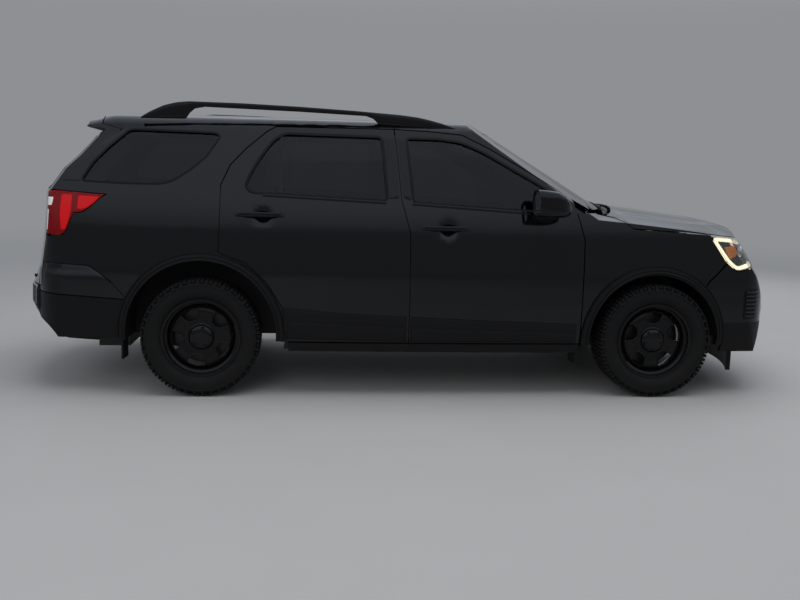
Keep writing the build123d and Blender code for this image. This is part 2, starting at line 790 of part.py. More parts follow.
def floor_pan():
    """Floor with its tunnel, rear wheel wells and load floor."""
    slab = plan_revolve(Plane.YZ * Pos((-842 + 400) / 2 + seat_gap, 345) * Rectangle(1242, 30))
    slab = slab & block((-2318, 1000), (-far, 0), (0, 700))
    tunnel_out = block((-500, 1000), (-150, 0), (330, 560))
    slab = slab + tunnel_out - block((-480, 1100), (-132, 1), (300, 540))
    wall_out = rear_arch_radius + 15 + well_wall
    drum = across(arch_disc(rear_axle, wall_out, rear_arch_rise), -840, -well_inner_y)
    space = across(arch_disc(rear_axle, wall_out - well_wall, rear_arch_rise), -900, -well_inner_y - well_wall)
    slab = slab + (drum & block((-far, 0), (-far, 0), (330, 1000))) - space
    slab += block((-2318, -2300), (-635, 0), (330, 640))
    slab += block((-2290, -1290), (-490, 0), (floor_z + floor_thickness - 1, load_floor_z))
    save("floor_pan", whole(slab))


def firewall():
    """Wall and shelf behind the engine, with the pins of the hood's hinges."""
    wall = block((1000.3, 1020), (-505, 0), (330, 1150)) - block((900, 1100), (-132, 1), (300, 540))
    wall += block((1000.3, 1020), (-700, 0), (820, 1150))
    shelf = block((1000.3, 1290), (-700, 0), (1120, 1140)) & cowl_drum(-30)
    pin = rod((hood_pin_x, -hood_arm_y - 16, hood_pin_z), (hood_pin_x, -hood_arm_y + 16, hood_pin_z), 5)
    ear = block((hood_pin_x - 12, hood_pin_x + 12), (-hood_arm_y + 7, -hood_arm_y + 16), (hood_pin_z - 14, 1125))
    ear += block((hood_pin_x - 12, hood_pin_x + 12), (-hood_arm_y - 16, -hood_arm_y - 7), (hood_pin_z - 14, 1125))
    shelf -= block((1060, 1300), (-hood_arm_y - 6.5, -hood_arm_y + 6.5), (1000, 1300))
    save("firewall", whole(wall + shelf + ear + pin))


def front_structure():
    """Rails, aprons and crossmember that carry the engine and the nose."""
    rail = block((1020.3, 2140), (-480, -400), (400, 520))
    apron = block((1020.3, 2070), (-505, -490), (410, 960)) + block((1360, 1500), (-740, -495), (930, 960))
    cross = block((2090, 2140), (-480, 0), (380, 860))
    tie = block((1020.3, 2070), (-495, -470), (410, 510))
    save("front_structure", whole(rail + apron + cross + tie))


def engine():
    """Engine as one block on its feet."""
    feet = block((1440, 1500), (-400 + seat_gap, 400 - seat_gap), (430, 470))
    save("engine", block((1180, 1800), (-300, 300), (420, 930)) + feet)


def driveline():
    """Gearbox, shaft and final drive."""
    gearbox = block((420, 1179.7), (-120, 120), (290, 520))
    shaft = rod((419, 0, 330), (-1301, 0, 255), 38)
    final = block((-1560, -1300), (-130, 130), (190, 320))
    save("driveline", gearbox + shaft + final)


def exhaust_and_tank():
    """Exhaust pipe with its silencer, and the fuel tank."""
    pipe = rod((1000, -250, 296), (-2050, -250, 296), 28)
    box = block((-2150, -1950), (-450, 450), (215, 320))
    for hanger_x in (700, -700, -2000):
        pipe += block((hanger_x - 12, hanger_x + 12), (-262, -238), (300, floor_z - seat_gap))
    save("exhaust", pipe + box)
    save("fuel_tank", block((-950, -350), (220, 700), (215, 329.7)))


arm_top = 188.0
strut_y = -662.0
strut_radius = 26.0


def suspension():
    """Arms, frames and struts of both axles, and the two knuckles."""
    arm = block((1390, 1470), (-797, -350), (158, arm_top))
    frame = block((1250, 1600), (-400, 0), (arm_top, 260))
    post = block((1300, 1560), (-470, -400), (arm_top, 399.7))
    strut = rod((front_axle, strut_y, 546), (front_axle, strut_y, 929.7), strut_radius)
    save("front_suspension", whole(arm + frame + post), *both(strut))
    right = block((-1460, -1400), (-795, -735), (220, 500)) - stub_bore(rear_axle)
    arm = block((-1470, -1390), (-760, -131), (225, 262))
    mount = block((-1700, -1160), (-500, -440), (225, 329.7))
    save("rear_suspension", *both(right + arm + mount))
    for side, sign in (("right", -1), ("left", 1)):
        save(f"knuckle_{side}", knuckle() if sign < 0 else mirrored(knuckle()))


def stub_bore(axle_x):
    """Bore that a wheel's stub shaft turns in, right side."""
    return rod((axle_x, -900, tyre_radius), (axle_x, -700, tyre_radius), stub_radius + seat_gap)


def knuckle():
    """Steered carrier of a front wheel, right side."""
    hub = rod((front_axle, -795, tyre_radius), (front_axle, -735, tyre_radius), 62)
    web = block((front_axle - 30, front_axle + 30), (-795, -750), (arm_top + seat_gap, 500))
    arm = block((front_axle - 30, front_axle + 30), (-795, strut_y + 30), (470, 540))
    return hub + web + arm - stub_bore(front_axle)


def seats():
    """Front seats and the rear bench as plain closed forms."""
    profile = outline([(-180, 420), (330, 460), (340, 640), (-120, 600), (-300, 1190), (-400, 1180), (-260, 500)])
    save("front_seats", *both(across(profile, -690, -170) + block((-100, 250), (-640, -220), (360.3, 470))))
    rear = outline([(-1100, 440), (-560, 460), (-550, 620), (-1010, 580), (-1180, 1130), (-1270, 1120), (-1150, 500)])
    save("rear_seats", across(rear, -490, 490) + block((-1080, -620), (-480, 480), (360.3, 470)))


def cabin_fittings():
    """Dashboard with the steering column, and the steering wheel."""
    board = outline([(640, 760), (640, 1020), (760, 1120), (1000, 1110), (1000, 760)])
    tilt = Plane(origin=(500, 370, 962), z_dir=(-0.95, 0, 0.31))
    column = tilt * Pos(0, 0, -115 - 15 - seat_gap) * Cylinder(22, 230)
    save("dashboard", across(board, -820, 820) + column)
    rim = tilt * Torus(185, 15)
    hub = tilt * Cylinder(50, 30)
    spokes = [tilt * Rotation(0, 0, angle) * Pos(105, 0, 0) * Box(160, 28, 14) for angle in (0, 180, 270)]
    wheel_body = rim + hub
    for spoke in spokes:
        wheel_body += spoke
    save("steering_wheel", wheel_body)


def roof_rails():
    """Rails that stand clear of the roof behind and run down to it in front."""
    line = outline([
        (-1810, 1700), (-1676, 1770), (-1524, 1797), (-846, 1784), (-214, 1754), (-21, 1729), (150, 1680),
        (-330, 1680), (-420, 1736), (-846, 1752), (-1430, 1764), (-1500, 1750), (-1530, 1690),
    ])
    bar = across(line, -690, -655)
    save("roof_rails", *both(bar - outer_right.moved(Location((0, 0, seat_gap)))))


def build():
    """Write every node."""
    body_right = body_side()
    save("body_side_right", body_right)
    save("body_side_left", mirrored(body_right))
    for place_name, place in wheel_places.items():
        save(f"tyre_{place_name}", tyre(place))
        out = -1 if place[1] < 0 else 1
        stub_end = place[1] + out * (10 - stub_length)
        stub = rod((place[0], place[1] + out * 10, tyre_radius), (place[0], stub_end, tyre_radius), stub_radius)
        save(f"wheel_{place_name}", wheel(place) + stub)
    steps = (
        front_fenders, hood, cowl, door_seals, lamps, nose_pieces, rear_bumper, roof, windshield, liftgate, doors,
        mirrors, trims, floor_pan, firewall, front_structure, engine, driveline, exhaust_and_tank, suspension,
        seats, cabin_fittings, roof_rails,
    )
    for step in steps:
        step()


if __name__ == "__main__":
    build()
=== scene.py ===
"""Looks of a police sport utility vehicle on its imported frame: paint, glass, tyres, trim, lamps, cabin."""

import functools
import json
import math

import bmesh
import bpy
import numpy as np
from bpy.props import FloatProperty, FloatVectorProperty, IntProperty, PointerProperty
from mathutils import Matrix, Vector, geometry, kdtree

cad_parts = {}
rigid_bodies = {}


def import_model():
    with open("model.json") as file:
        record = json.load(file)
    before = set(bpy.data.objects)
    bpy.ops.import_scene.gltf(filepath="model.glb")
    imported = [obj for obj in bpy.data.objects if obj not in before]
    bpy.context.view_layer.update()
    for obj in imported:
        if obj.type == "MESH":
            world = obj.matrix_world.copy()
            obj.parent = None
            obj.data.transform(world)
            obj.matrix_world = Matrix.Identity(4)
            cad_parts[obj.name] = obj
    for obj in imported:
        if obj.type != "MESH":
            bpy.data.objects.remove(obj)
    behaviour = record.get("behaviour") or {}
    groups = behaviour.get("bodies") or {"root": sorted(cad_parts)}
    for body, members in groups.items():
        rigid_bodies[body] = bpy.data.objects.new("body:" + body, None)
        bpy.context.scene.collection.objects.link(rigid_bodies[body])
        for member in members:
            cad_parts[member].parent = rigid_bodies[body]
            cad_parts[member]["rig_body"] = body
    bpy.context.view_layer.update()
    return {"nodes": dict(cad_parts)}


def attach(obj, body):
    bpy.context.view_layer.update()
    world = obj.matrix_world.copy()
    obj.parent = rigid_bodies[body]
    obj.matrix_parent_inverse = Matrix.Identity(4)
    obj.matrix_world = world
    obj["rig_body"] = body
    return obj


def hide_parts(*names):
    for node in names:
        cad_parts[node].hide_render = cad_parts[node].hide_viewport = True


bl_info = {
    "name": "Police Sport Utility Vehicle",
    "version": (1, 0, 0),
    "blender": (4, 5, 0),
    "location": "View3D > Sidebar > Vehicle",
    "description": "Dresses the packed vehicle with paint, glass, tyres, trim, lamps and a cabin",
    "category": "Object",
}

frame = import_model()

# Shapes are drawn in millimetres about the middle of the wheelbase, as the CAD source does
MILLIMETRE = 0.001
FRAME_SHIFT = 108.0
FRONT_AXLE = 1430.0
REAR_AXLE = -1430.0
TYRE_RADIUS = 363.5
TYRE_WIDTH = 245.0
RIM_RADIUS = 228.6
RIM_WIDTH = 203.0
WHEEL_Y = 851.0
SIDE_CENTRE = 23022.0
NOSE_CENTRE = 645.0
TAIL_CENTRE = -411.0
FRONT_ARCH = 432.0
REAR_ARCH = 455.0
REAR_ARCH_RISE = 15.0

# Outline of the right side, (y, z), in arcs of three points each
SIDE_SECTION = (
    (-940, 283), (-968, 440), (-978, 640), (-976, 860), (-958, 1040),
    (-944, 1110), (-922, 1200), (-838, 1440), (-725, 1650),
)
# Side view of the nose, (radius about its centre, z), in arcs of three points each
NOSE_SECTION = (
    (1714, 240), (1738, 355), (1750, 500), (1742, 660), (1705, 790),
    (1652, 885), (1592, 975), (1520, 1075), (1420, 1190),
)
# Side view of the tail, (radius about its centre, z), in straight lines
TAIL_SECTION = (
    (2050, 200), (2070, 351), (2120, 420), (2178, 482), (2200, 525), (2197, 619),
    (2139, 775), (2108, 1000), (2089, 1224), (1930, 1450), (1800, 1745),
)
# Undercut below the spoiler, (height, depth), and the line behind which it starts, (height, x)
UNDERCUT = ((1370, 0), (1450, 32), (1535, 75), (1618, 118), (1655, 0))
TAIL_POST = ((1299, -2178), (1415, -2105), (1518, -2009), (1616, -1901))
# Edge of the hood's raised middle, (x, distance from the middle line)
HOOD_CREASE = ((1300, 640), (1750, 618), (1950, 520), (2200, 430))

# CAD panels copied finely as one skin
PAINTED = (
    "body_side_right", "body_side_left", "front_fenders", "front_bumper", "hood", "roof", "rear_bumper",
    "liftgate", "door_front_right", "door_front_left", "door_rear_right", "door_rear_left",
    "liftgate_glass", "bumper_valances",
)
# Skins of one finish other than paint
PLAIN_SKINS = {"liftgate_glass": "dark_glass", "bumper_valances": "trim_plastic"}
# Skins with the undercut below the spoiler, and skins with the low tail's bent ends
TAIL_PANELS = ("body_side_right", "body_side_left", "roof", "liftgate", "liftgate_glass")
LOW_TAIL_PANELS = ("liftgate", "rear_bumper", "bumper_valances")
# How far the spoiler's tip falls, and how high the hood's middle rises
SPOILER_DROP = 30.0
HOOD_RISE = 10.0
# Low tail, distance from the middle line: where it starts to bend ahead, and where it meets the posts
LOW_BEND = 400.0
LOW_END = 745.0


def arc_value(section, level):
    """Value of a chain of three-point arcs, (value, level) each, at a level."""
    last = len(section) - 3
    start = next((i for i in range(0, last, 2) if level <= section[i + 2][1]), last)
    (a, p), (b, q), (c, r) = section[start:start + 3]
    turn = 2 * (a * (q - r) + b * (r - p) + c * (p - q))
    if abs(turn) < 1e-6:
        return a + (c - a) * (level - p) / (r - p)
    squares = [v * v + w * w for v, w in section[start:start + 3]]
    centre = (squares[0] * (q - r) + squares[1] * (r - p) + squares[2] * (p - q)) / turn
    height = (squares[0] * (c - b) + squares[1] * (a - c) + squares[2] * (b - a)) / turn
    radius = math.hypot(a - centre, p - height)
    reach = math.sqrt(max(radius ** 2 - (level - height) ** 2, 0.0))
    return centre + math.copysign(reach, b - centre)


def side_y(x, z):
    """Where the right side's skin is."""
    reach = SIDE_CENTRE - arc_value(SIDE_SECTION, z)
    return SIDE_CENTRE - math.sqrt(reach ** 2 - x ** 2)


def nose_x(y, z):
    return NOSE_CENTRE + math.sqrt(arc_value(NOSE_SECTION, z) ** 2 - y ** 2)


def smoothstep(share):
    share = np.clip(share, 0.0, 1.0)
    return share * share * (3 - 2 * share)


def tail_ease(x, z):
    """How far the tail under the spoiler lies ahead of the plain round form."""
    depth = np.interp(z, *zip(*UNDERCUT))
    start = np.interp(z, *zip(*TAIL_POST))
    return depth * smoothstep((start - x) / 130.0)


def tail_drop(x, z):
    """How far the spoiler falls towards its tip."""
    return SPOILER_DROP * smoothstep((-1990.0 - x) / 160.0) * np.clip((z - 1600.0) / 100.0, 0.0, 1.0)


def tail_radius(z):
    radii, levels = zip(*TAIL_SECTION)
    return np.interp(z, levels, radii)


def tail_x(y, z):
    """Where the tail's skin is."""
    x = TAIL_CENTRE - math.sqrt(float(tail_radius(z)) ** 2 - y ** 2)
    return x if z < UNDERCUT[0][0] else x + float(tail_ease(x, z))


def low_tail_x(y, z):
    """Line of the low tail, bent ahead towards its ends so that it runs on into the round corners."""
    post_x, post_y, post_radius = POSTS[1][:3]
    corner = post_x - math.sqrt(post_radius ** 2 - (LOW_END + post_y) ** 2)
    radius = tail_radius(z)
    step = np.maximum(corner - TAIL_CENTRE + np.sqrt(radius ** 2 - LOW_END ** 2), 0.0)
    share = np.clip((np.abs(y) - LOW_BEND) / (LOW_END - LOW_BEND), 0.0, 1.0)
    return TAIL_CENTRE - np.sqrt(radius ** 2 - y ** 2) + step * share ** 2


def rounded(corners, radius, steps=5):
    """Closed outline with each corner turned into a small curve."""
    result = []
    count = len(corners)
    for i in range(count):
        before, corner, after = (Vector(corners[(i + k) % count]) for k in (-1, 0, 1))
        into = before - corner
        away = after - corner
        cut = min(radius, into.length * 0.48, away.length * 0.48)
        start = corner + into.normalized() * cut
        end = corner + away.normalized() * cut
        for step in range(steps + 1):
            t = step / steps
            result.append(tuple(start * (1 - t) ** 2 + corner * 2 * t * (1 - t) + end * t * t))
    return result


def divided(loop, spacing):
    """Closed outline with points no further apart than spacing."""
    result = []
    for start, end in zip(loop, [*loop[1:], loop[0]]):
        start, end = np.array(start, float), np.array(end, float)
        pieces = max(1, math.ceil(np.linalg.norm(end - start) / spacing))
        result.extend(start + (end - start) * k / pieces for k in range(pieces))
    return np.array(result)


def distance_to(loop, points):
    """Distance of each point from a closed outline."""
    start = loop[None, :, :]
    run = np.roll(loop, -1, axis=0)[None, :, :] - start
    away = points[:, None, :] - start
    share = np.clip((away * run).sum(2) / np.maximum((run * run).sum(2), 1e-9), 0, 1)
    return np.linalg.norm(away - run * share[:, :, None], axis=2).min(1)


def inside(loop, points):
    """Whether each point lies inside a closed outline."""
    x, y = points[:, 0:1], points[:, 1:2]
    x0, y0 = loop[:, 0][None, :], loop[:, 1][None, :]
    x1, y1 = np.roll(x0, -1, axis=1), np.roll(y0, -1, axis=1)
    crosses = (y0 > y) != (y1 > y)
    rise = np.where(y1 == y0, 1e-9, y1 - y0)
    return ((crosses & (x < x0 + (y - y0) / rise * (x1 - x0))).sum(1) % 2).astype(bool)


def full_turn(count):
    """Angles spaced evenly round a full turn."""
    return [2 * math.pi * k / count for k in range(count)]


def squarish(angle, power):
    """Place on a ring between a circle and a box: cosine and sine, each to a power."""
    return [math.copysign(abs(v) ** power, v) for v in (math.cos(angle), math.sin(angle))]


def ring_row(centre, side, other, radius, count):
    """Points of a circle about a centre, in the plane of two directions."""
    return [centre + (side * math.cos(a) + other * math.sin(a)) * radius for a in full_turn(count)]


def placed(name, data):
    """New object in the scene."""
    obj = bpy.data.objects.new(name, data)
    bpy.context.scene.collection.objects.link(obj)
    return obj


# Greatest angle between faces that are shaded as one curve, in degrees
CREASE = 38.0


class Shape:
    """Points in millimetres about the middle of the wheelbase, and faces with a finish each."""

    def __init__(self):
        self.points = []
        self.faces = []
        self.finishes = []

    def add(self, points, faces, finish):
        start = len(self.points)
        self.points.extend(tuple(point) for point in points)
        self.faces.extend(tuple(start + i for i in face) for face in faces)
        self.finishes.extend([finish] * len(faces))

    def grid(self, rows, finish, ring=False, loop=False, caps=False):
        """Quads between rows of points; ring closes each row, loop joins the last row to the first."""
        count, width = len(rows), len(rows[0])
        faces = []
        for i in range(count if loop else count - 1):
            above = (i + 1) % count
            for j in range(width if ring else width - 1):
                beside = (j + 1) % width
                faces.append((i * width + j, i * width + beside, above * width + beside, above * width + j))
        if caps:
            faces.append(tuple(range(width - 1, -1, -1)))
            faces.append(tuple((count - 1) * width + j for j in range(width)))
        self.add([point for row in rows for point in row], faces, finish)

    def turned(self, centre, axis, profile, finish, steps=32, loop=False):
        """Turned piece about a line; profile is (distance along the line, radius)."""
        centre, axis = Vector(centre), Vector(axis).normalized()
        side = Vector((1, 0, 0)) if abs(axis.x) < 0.7 else Vector((0, 0, 1))
        side = (side - axis * side.dot(axis)).normalized()
        other = axis.cross(side)
        rows = [ring_row(centre + axis * along, side, other, radius, steps) for along, radius in profile]
        self.grid(rows, finish, ring=True, loop=loop)

    def lathe(self, centre, profile, finish, steps=64, out=-1, loop=True):
        """Turned piece about a line across the vehicle."""
        self.turned(centre, (0, out, 0), profile, finish, steps, loop)

    def tube(self, path, radius, finish, steps=10, caps=True):
        """Round bar along points."""
        path = [Vector(p) for p in path]
        side = Vector((0, 0, 1)) if abs((path[1] - path[0]).normalized().z) < 0.9 else Vector((1, 0, 0))
        rows = []
        for i, point in enumerate(path):
            ahead = (path[min(i + 1, len(path) - 1)] - path[max(i - 1, 0)]).normalized()
            side = (side - ahead * side.dot(ahead)).normalized()
            rows.append(ring_row(point, side, ahead.cross(side), radius, steps))
        self.grid(rows, finish, ring=True, caps=caps)

    def hull(self, points, finish):
        """Smallest closed form round some points."""
        mesh = bmesh.new()
        for point in points:
            mesh.verts.new(point)
        bmesh.ops.convex_hull(mesh, input=mesh.verts)
        kept = [v for v in mesh.verts if v.link_faces]
        index = {v: i for i, v in enumerate(kept)}
        self.add([v.co for v in kept], [[index[v] for v in f.verts] for f in mesh.faces], finish)
        mesh.free()

    def block(self, centre, size, finish, cut):
        """Box with every edge and corner cut."""
        points = []
        for signs in ((a, b, c) for a in (-1, 1) for b in (-1, 1) for c in (-1, 1)):
            for short in range(3):
                place = [s * (size[k] / 2 - (0 if k == short else cut)) for k, s in enumerate(signs)]
                points.append(Vector(centre) + Vector(place))
        self.hull(points, finish)

    def sheet(self, outline, lift, finish, holes=(), spacing=40.0, rim=0.0, back=None, close=False):
        """Plate inside an outline: lift(u, v, height) places it, rim rounds its edge, back is its depth."""
        fine = min(spacing, max(rim * 2.5, spacing * 0.4))
        loops = [divided(loop, fine) for loop in (outline, *holes)]
        points = np.vstack(loops)
        edges, start = [], 0
        for loop in loops:
            edges.extend((start + k, start + (k + 1) % len(loop)) for k in range(len(loop)))
            start += len(loop)
        low, high = loops[0].min(0), loops[0].max(0)
        grid = np.array([
            (u + (row % 2) * spacing / 2, v)
            for row, v in enumerate(np.arange(low[1] + spacing / 2, high[1], spacing))
            for u in np.arange(low[0] + spacing / 2, high[0], spacing)
        ]).reshape(-1, 2)
        for depth in ((rim * 0.3, rim) if rim else ()):
            for loop in loops:
                out = sideways(np.roll(loop, -1, axis=0) - np.roll(loop, 1, axis=0))
                for sign in (1, -1):
                    ring = loop + out * sign * depth
                    ring = ring[self.gap(loops, ring) > depth * 0.9]
                    grid = np.vstack([grid, ring])
        gap = self.gap(loops, grid)
        far = gap > max(spacing * 0.4, rim * 1.2)
        on_rim = (gap > rim * 0.25) & (gap < rim * 1.05) if rim else np.zeros(len(grid), bool)
        kept = grid[far | on_rim]
        flat = [Vector(p) for p in np.vstack([points, kept])]
        found = geometry.delaunay_2d_cdt(flat, edges, [], 1, 1e-3)
        flat, triangles = np.array([tuple(p) for p in found[0]]), [tuple(f) for f in found[2]]
        middle = np.array([flat[list(f)].mean(0) for f in triangles])
        solid = inside(loops[0], middle)
        for loop in loops[1:]:
            solid &= ~inside(loop, middle)
        triangles = [f for f, keep in zip(triangles, solid) if keep]
        drop = np.zeros(len(flat))
        if rim:
            share = np.clip(1 - self.gap(loops, flat, False) / rim, 0, 1)
            drop = rim * (1 - np.sqrt(np.maximum(1 - share ** 2, 0)))
        self.add([lift(u, v, -d) for (u, v), d in zip(flat, drop)], triangles, finish)
        if back is None:
            return
        for loop in loops:
            rows = [[lift(u, v, -rim) for u, v in loop], [lift(u, v, back) for u, v in loop]]
            self.grid(rows, finish, ring=True)
        if close:
            self.add([lift(u, v, back) for u, v in flat], [f[::-1] for f in triangles], finish)

    @staticmethod
    def gap(loops, points, signed=True):
        """Distance of points from the nearest outline, below zero outside the plate."""
        if not len(points):
            return np.zeros(0)
        away = np.min([distance_to(loop, points) for loop in loops], axis=0)
        if not signed:
            return away
        solid = inside(loops[0], points)
        for loop in loops[1:]:
            solid &= ~inside(loop, points)
        return np.where(solid, away, -away)

    def both_sides(self):
        """The same shape with its mirror image."""
        result, mirrored = Shape(), self.other_side()
        count = len(self.points)
        result.points = self.points + mirrored.points
        result.faces = self.faces + [tuple(count + i for i in face) for face in mirrored.faces]
        result.finishes = self.finishes * 2
        return result

    def other_side(self):
        result = Shape()
        result.points = [(x, -y, z) for x, y, z in self.points]
        result.faces = [tuple(reversed(face)) for face in self.faces]
        result.finishes = list(self.finishes)
        return result

    def piece(self, name, body, slot, replaced=(), recalculate=True):
        """Blender object of the shape that rides on a body."""
        mesh = bpy.data.meshes.new(name)
        places = (np.array(self.points, float) + (FRAME_SHIFT, 0.0, 0.0)) * MILLIMETRE
        mesh.from_pydata(places.tolist(), [], self.faces)
        names = list(dict.fromkeys(self.finishes))
        for finish in names:
            mesh.materials.append(made_finish(finish))
        mesh.polygons.foreach_set("material_index", [names.index(f) for f in self.finishes])
        if recalculate:
            work = bmesh.new()
            work.from_mesh(mesh)
            bmesh.ops.remove_doubles(work, verts=work.verts, dist=1e-5)
            bmesh.ops.recalc_face_normals(work, faces=work.faces)
            work.to_mesh(mesh)
            work.free()
        mesh.shade_smooth()
        mesh.set_sharp_from_angle(angle=math.radians(CREASE))
        obj = placed(name, mesh)
        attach(obj, body)
        if replaced:
            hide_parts(*replaced)
        return obj


class Wiring:
    """Short way to add and join shader nodes in one tree; i0, i1 and so on name sockets by number."""

    def __init__(self, tree):
        self.tree = tree

    def node(self, kind, settings=None, **inputs):
        made = self.tree.nodes.new(kind)
        for name, value in (settings or {}).items():
            setattr(made, name, value)
        for name, value in inputs.items():
            numbered = name[0] == "i" and name[1:].isdigit()
            socket = made.inputs[int(name[1:]) if numbered else name]
            if isinstance(value, bpy.types.NodeSocket):
                self.join(value, socket)
            else:
                socket.default_value = value
        return made

    def join(self, source, target):
        self.tree.links.new(source, target)


def group(name, inputs, outputs):
    """Empty shader group with named sockets: its wiring, its input node and its output node."""
    tree = bpy.data.node_groups.new(name, "ShaderNodeTree")
    for socket, kind, value in inputs:
        made = tree.interface.new_socket(socket, in_out="INPUT", socket_type=kind)
        made.default_value = value
    for socket, kind in outputs:
        tree.interface.new_socket(socket, in_out="OUTPUT", socket_type=kind)
    wiring = Wiring(tree)
    return wiring, wiring.node("NodeGroupInput"), wiring.node("NodeGroupOutput")


def math_node(wiring, operation, first, second=0.0, clamp=False):
    return wiring.node(
        "ShaderNodeMath", {"operation": operation, "use_clamp": clamp}, i0=first, i1=second,
    ).outputs[0]


def mixed(wiring, share, first, second):
    """Colour between two colours, by a share."""
    return wiring.node("ShaderNodeMix", {"data_type": "RGBA"}, i0=share, i6=first, i7=second).outputs[2]


def eased_share(wiring, value, low, high):
    """Soft step from 0 to 1 as a value goes from low to high."""
    settings = {"interpolation_type": "SMOOTHSTEP"}
    return wiring.node("ShaderNodeMapRange", settings, i0=value, i1=low, i2=high).outputs[0]


def blended(wiring, share, first, second):
    """Shader between two shader nodes, by a share."""
    shaders = {"i1": first.outputs[0], "i2": second.outputs[0]}
    return wiring.node("ShaderNodeMixShader", i0=share, **shaders).outputs[0]


def between(wiring, share, low, high):
    """Number that goes from low to high as a share goes from 0 to 1."""
    return wiring.node("ShaderNodeMapRange", i0=share, i3=low, i4=high).outputs[0]


def grain_group():
    """Fine surface relief and slow tone changes of moulded, painted and cast surfaces."""
    wiring, given, result = group(
        "moulded grain",
        [("Size", "NodeSocketFloat", 0.002), ("Slow Size", "NodeSocketFloat", 0.4)],
        [("Height", "NodeSocketFloat"), ("Tone", "NodeSocketFloat")],
    )
    place = wiring.node("ShaderNodeTexCoord").outputs["Object"]
    scale = math_node(wiring, "DIVIDE", 1.0, given.outputs["Size"])
    fine = wiring.node("ShaderNodeTexNoise", Vector=place, Scale=scale, Detail=3.0, Roughness=0.6)
    slow_scale = math_node(wiring, "DIVIDE", 1.0, given.outputs["Slow Size"])
    slow = wiring.node("ShaderNodeTexNoise", Vector=place, Scale=slow_scale, Detail=5.0, Roughness=0.55)
    wiring.join(fine.outputs["Fac"], result.inputs["Height"])
    wiring.join(slow.outputs["Fac"], result.inputs["Tone"])
    return wiring.tree


def dust_group():
    """Road dust that lies low on the vehicle and thins out upwards."""
    wiring, given, result = group(
        "road dust",
        [("Top", "NodeSocketFloat", 0.7), ("Amount", "NodeSocketFloat", 0.3)],
        [("Mask", "NodeSocketFloat")],
    )
    place = wiring.node("ShaderNodeTexCoord").outputs["Object"]
    height = wiring.node("ShaderNodeSeparateXYZ", Vector=place).outputs["Z"]
    share = math_node(wiring, "DIVIDE", height, given.outputs["Top"])
    low = math_node(wiring, "SUBTRACT", 1.0, share, clamp=True)
    patches = wiring.node("ShaderNodeTexNoise", Vector=place, Scale=9.0, Detail=6.0, Roughness=0.65)
    specks = wiring.node("ShaderNodeTexNoise", Vector=place, Scale=160.0, Detail=2.0)
    cover = math_node(wiring, "MULTIPLY", low, patches.outputs["Fac"])
    cover = math_node(wiring, "MULTIPLY", cover, math_node(wiring, "ADD", specks.outputs["Fac"], 0.5))
    cover = math_node(wiring, "MULTIPLY", cover, given.outputs["Amount"], clamp=True)
    wiring.join(cover, result.inputs["Mask"])
    return wiring.tree


def weave_group():
    """Crossed threads of a woven cloth."""
    wiring, given, result = group(
        "woven threads",
        [("Thread", "NodeSocketFloat", 0.0012)],
        [("Height", "NodeSocketFloat"), ("Tone", "NodeSocketFloat")],
    )
    place = wiring.node("ShaderNodeTexCoord").outputs["Object"]
    scale = math_node(wiring, "DIVIDE", 0.3, given.outputs["Thread"])
    heights = []
    for direction in ("X", "Y", "Z"):
        wave = wiring.node(
            "ShaderNodeTexWave", {"wave_type": "BANDS", "bands_direction": direction},
            Vector=place, Scale=scale, Distortion=0.6,
        )
        heights.append(wave.outputs["Fac"])
    crossed = math_node(wiring, "MAXIMUM", math_node(wiring, "MAXIMUM", heights[0], heights[1]), heights[2])
    wiring.join(crossed, result.inputs["Height"])
    slow = wiring.node("ShaderNodeTexNoise", Vector=place, Scale=30.0, Detail=4.0)
    wiring.join(slow.outputs["Fac"], result.inputs["Tone"])
    return wiring.tree


# Start of the finishes' names, apart from the plain ones that come with the frame
MADE = "made_"


def made_finish(name):
    return bpy.data.materials[MADE + name]


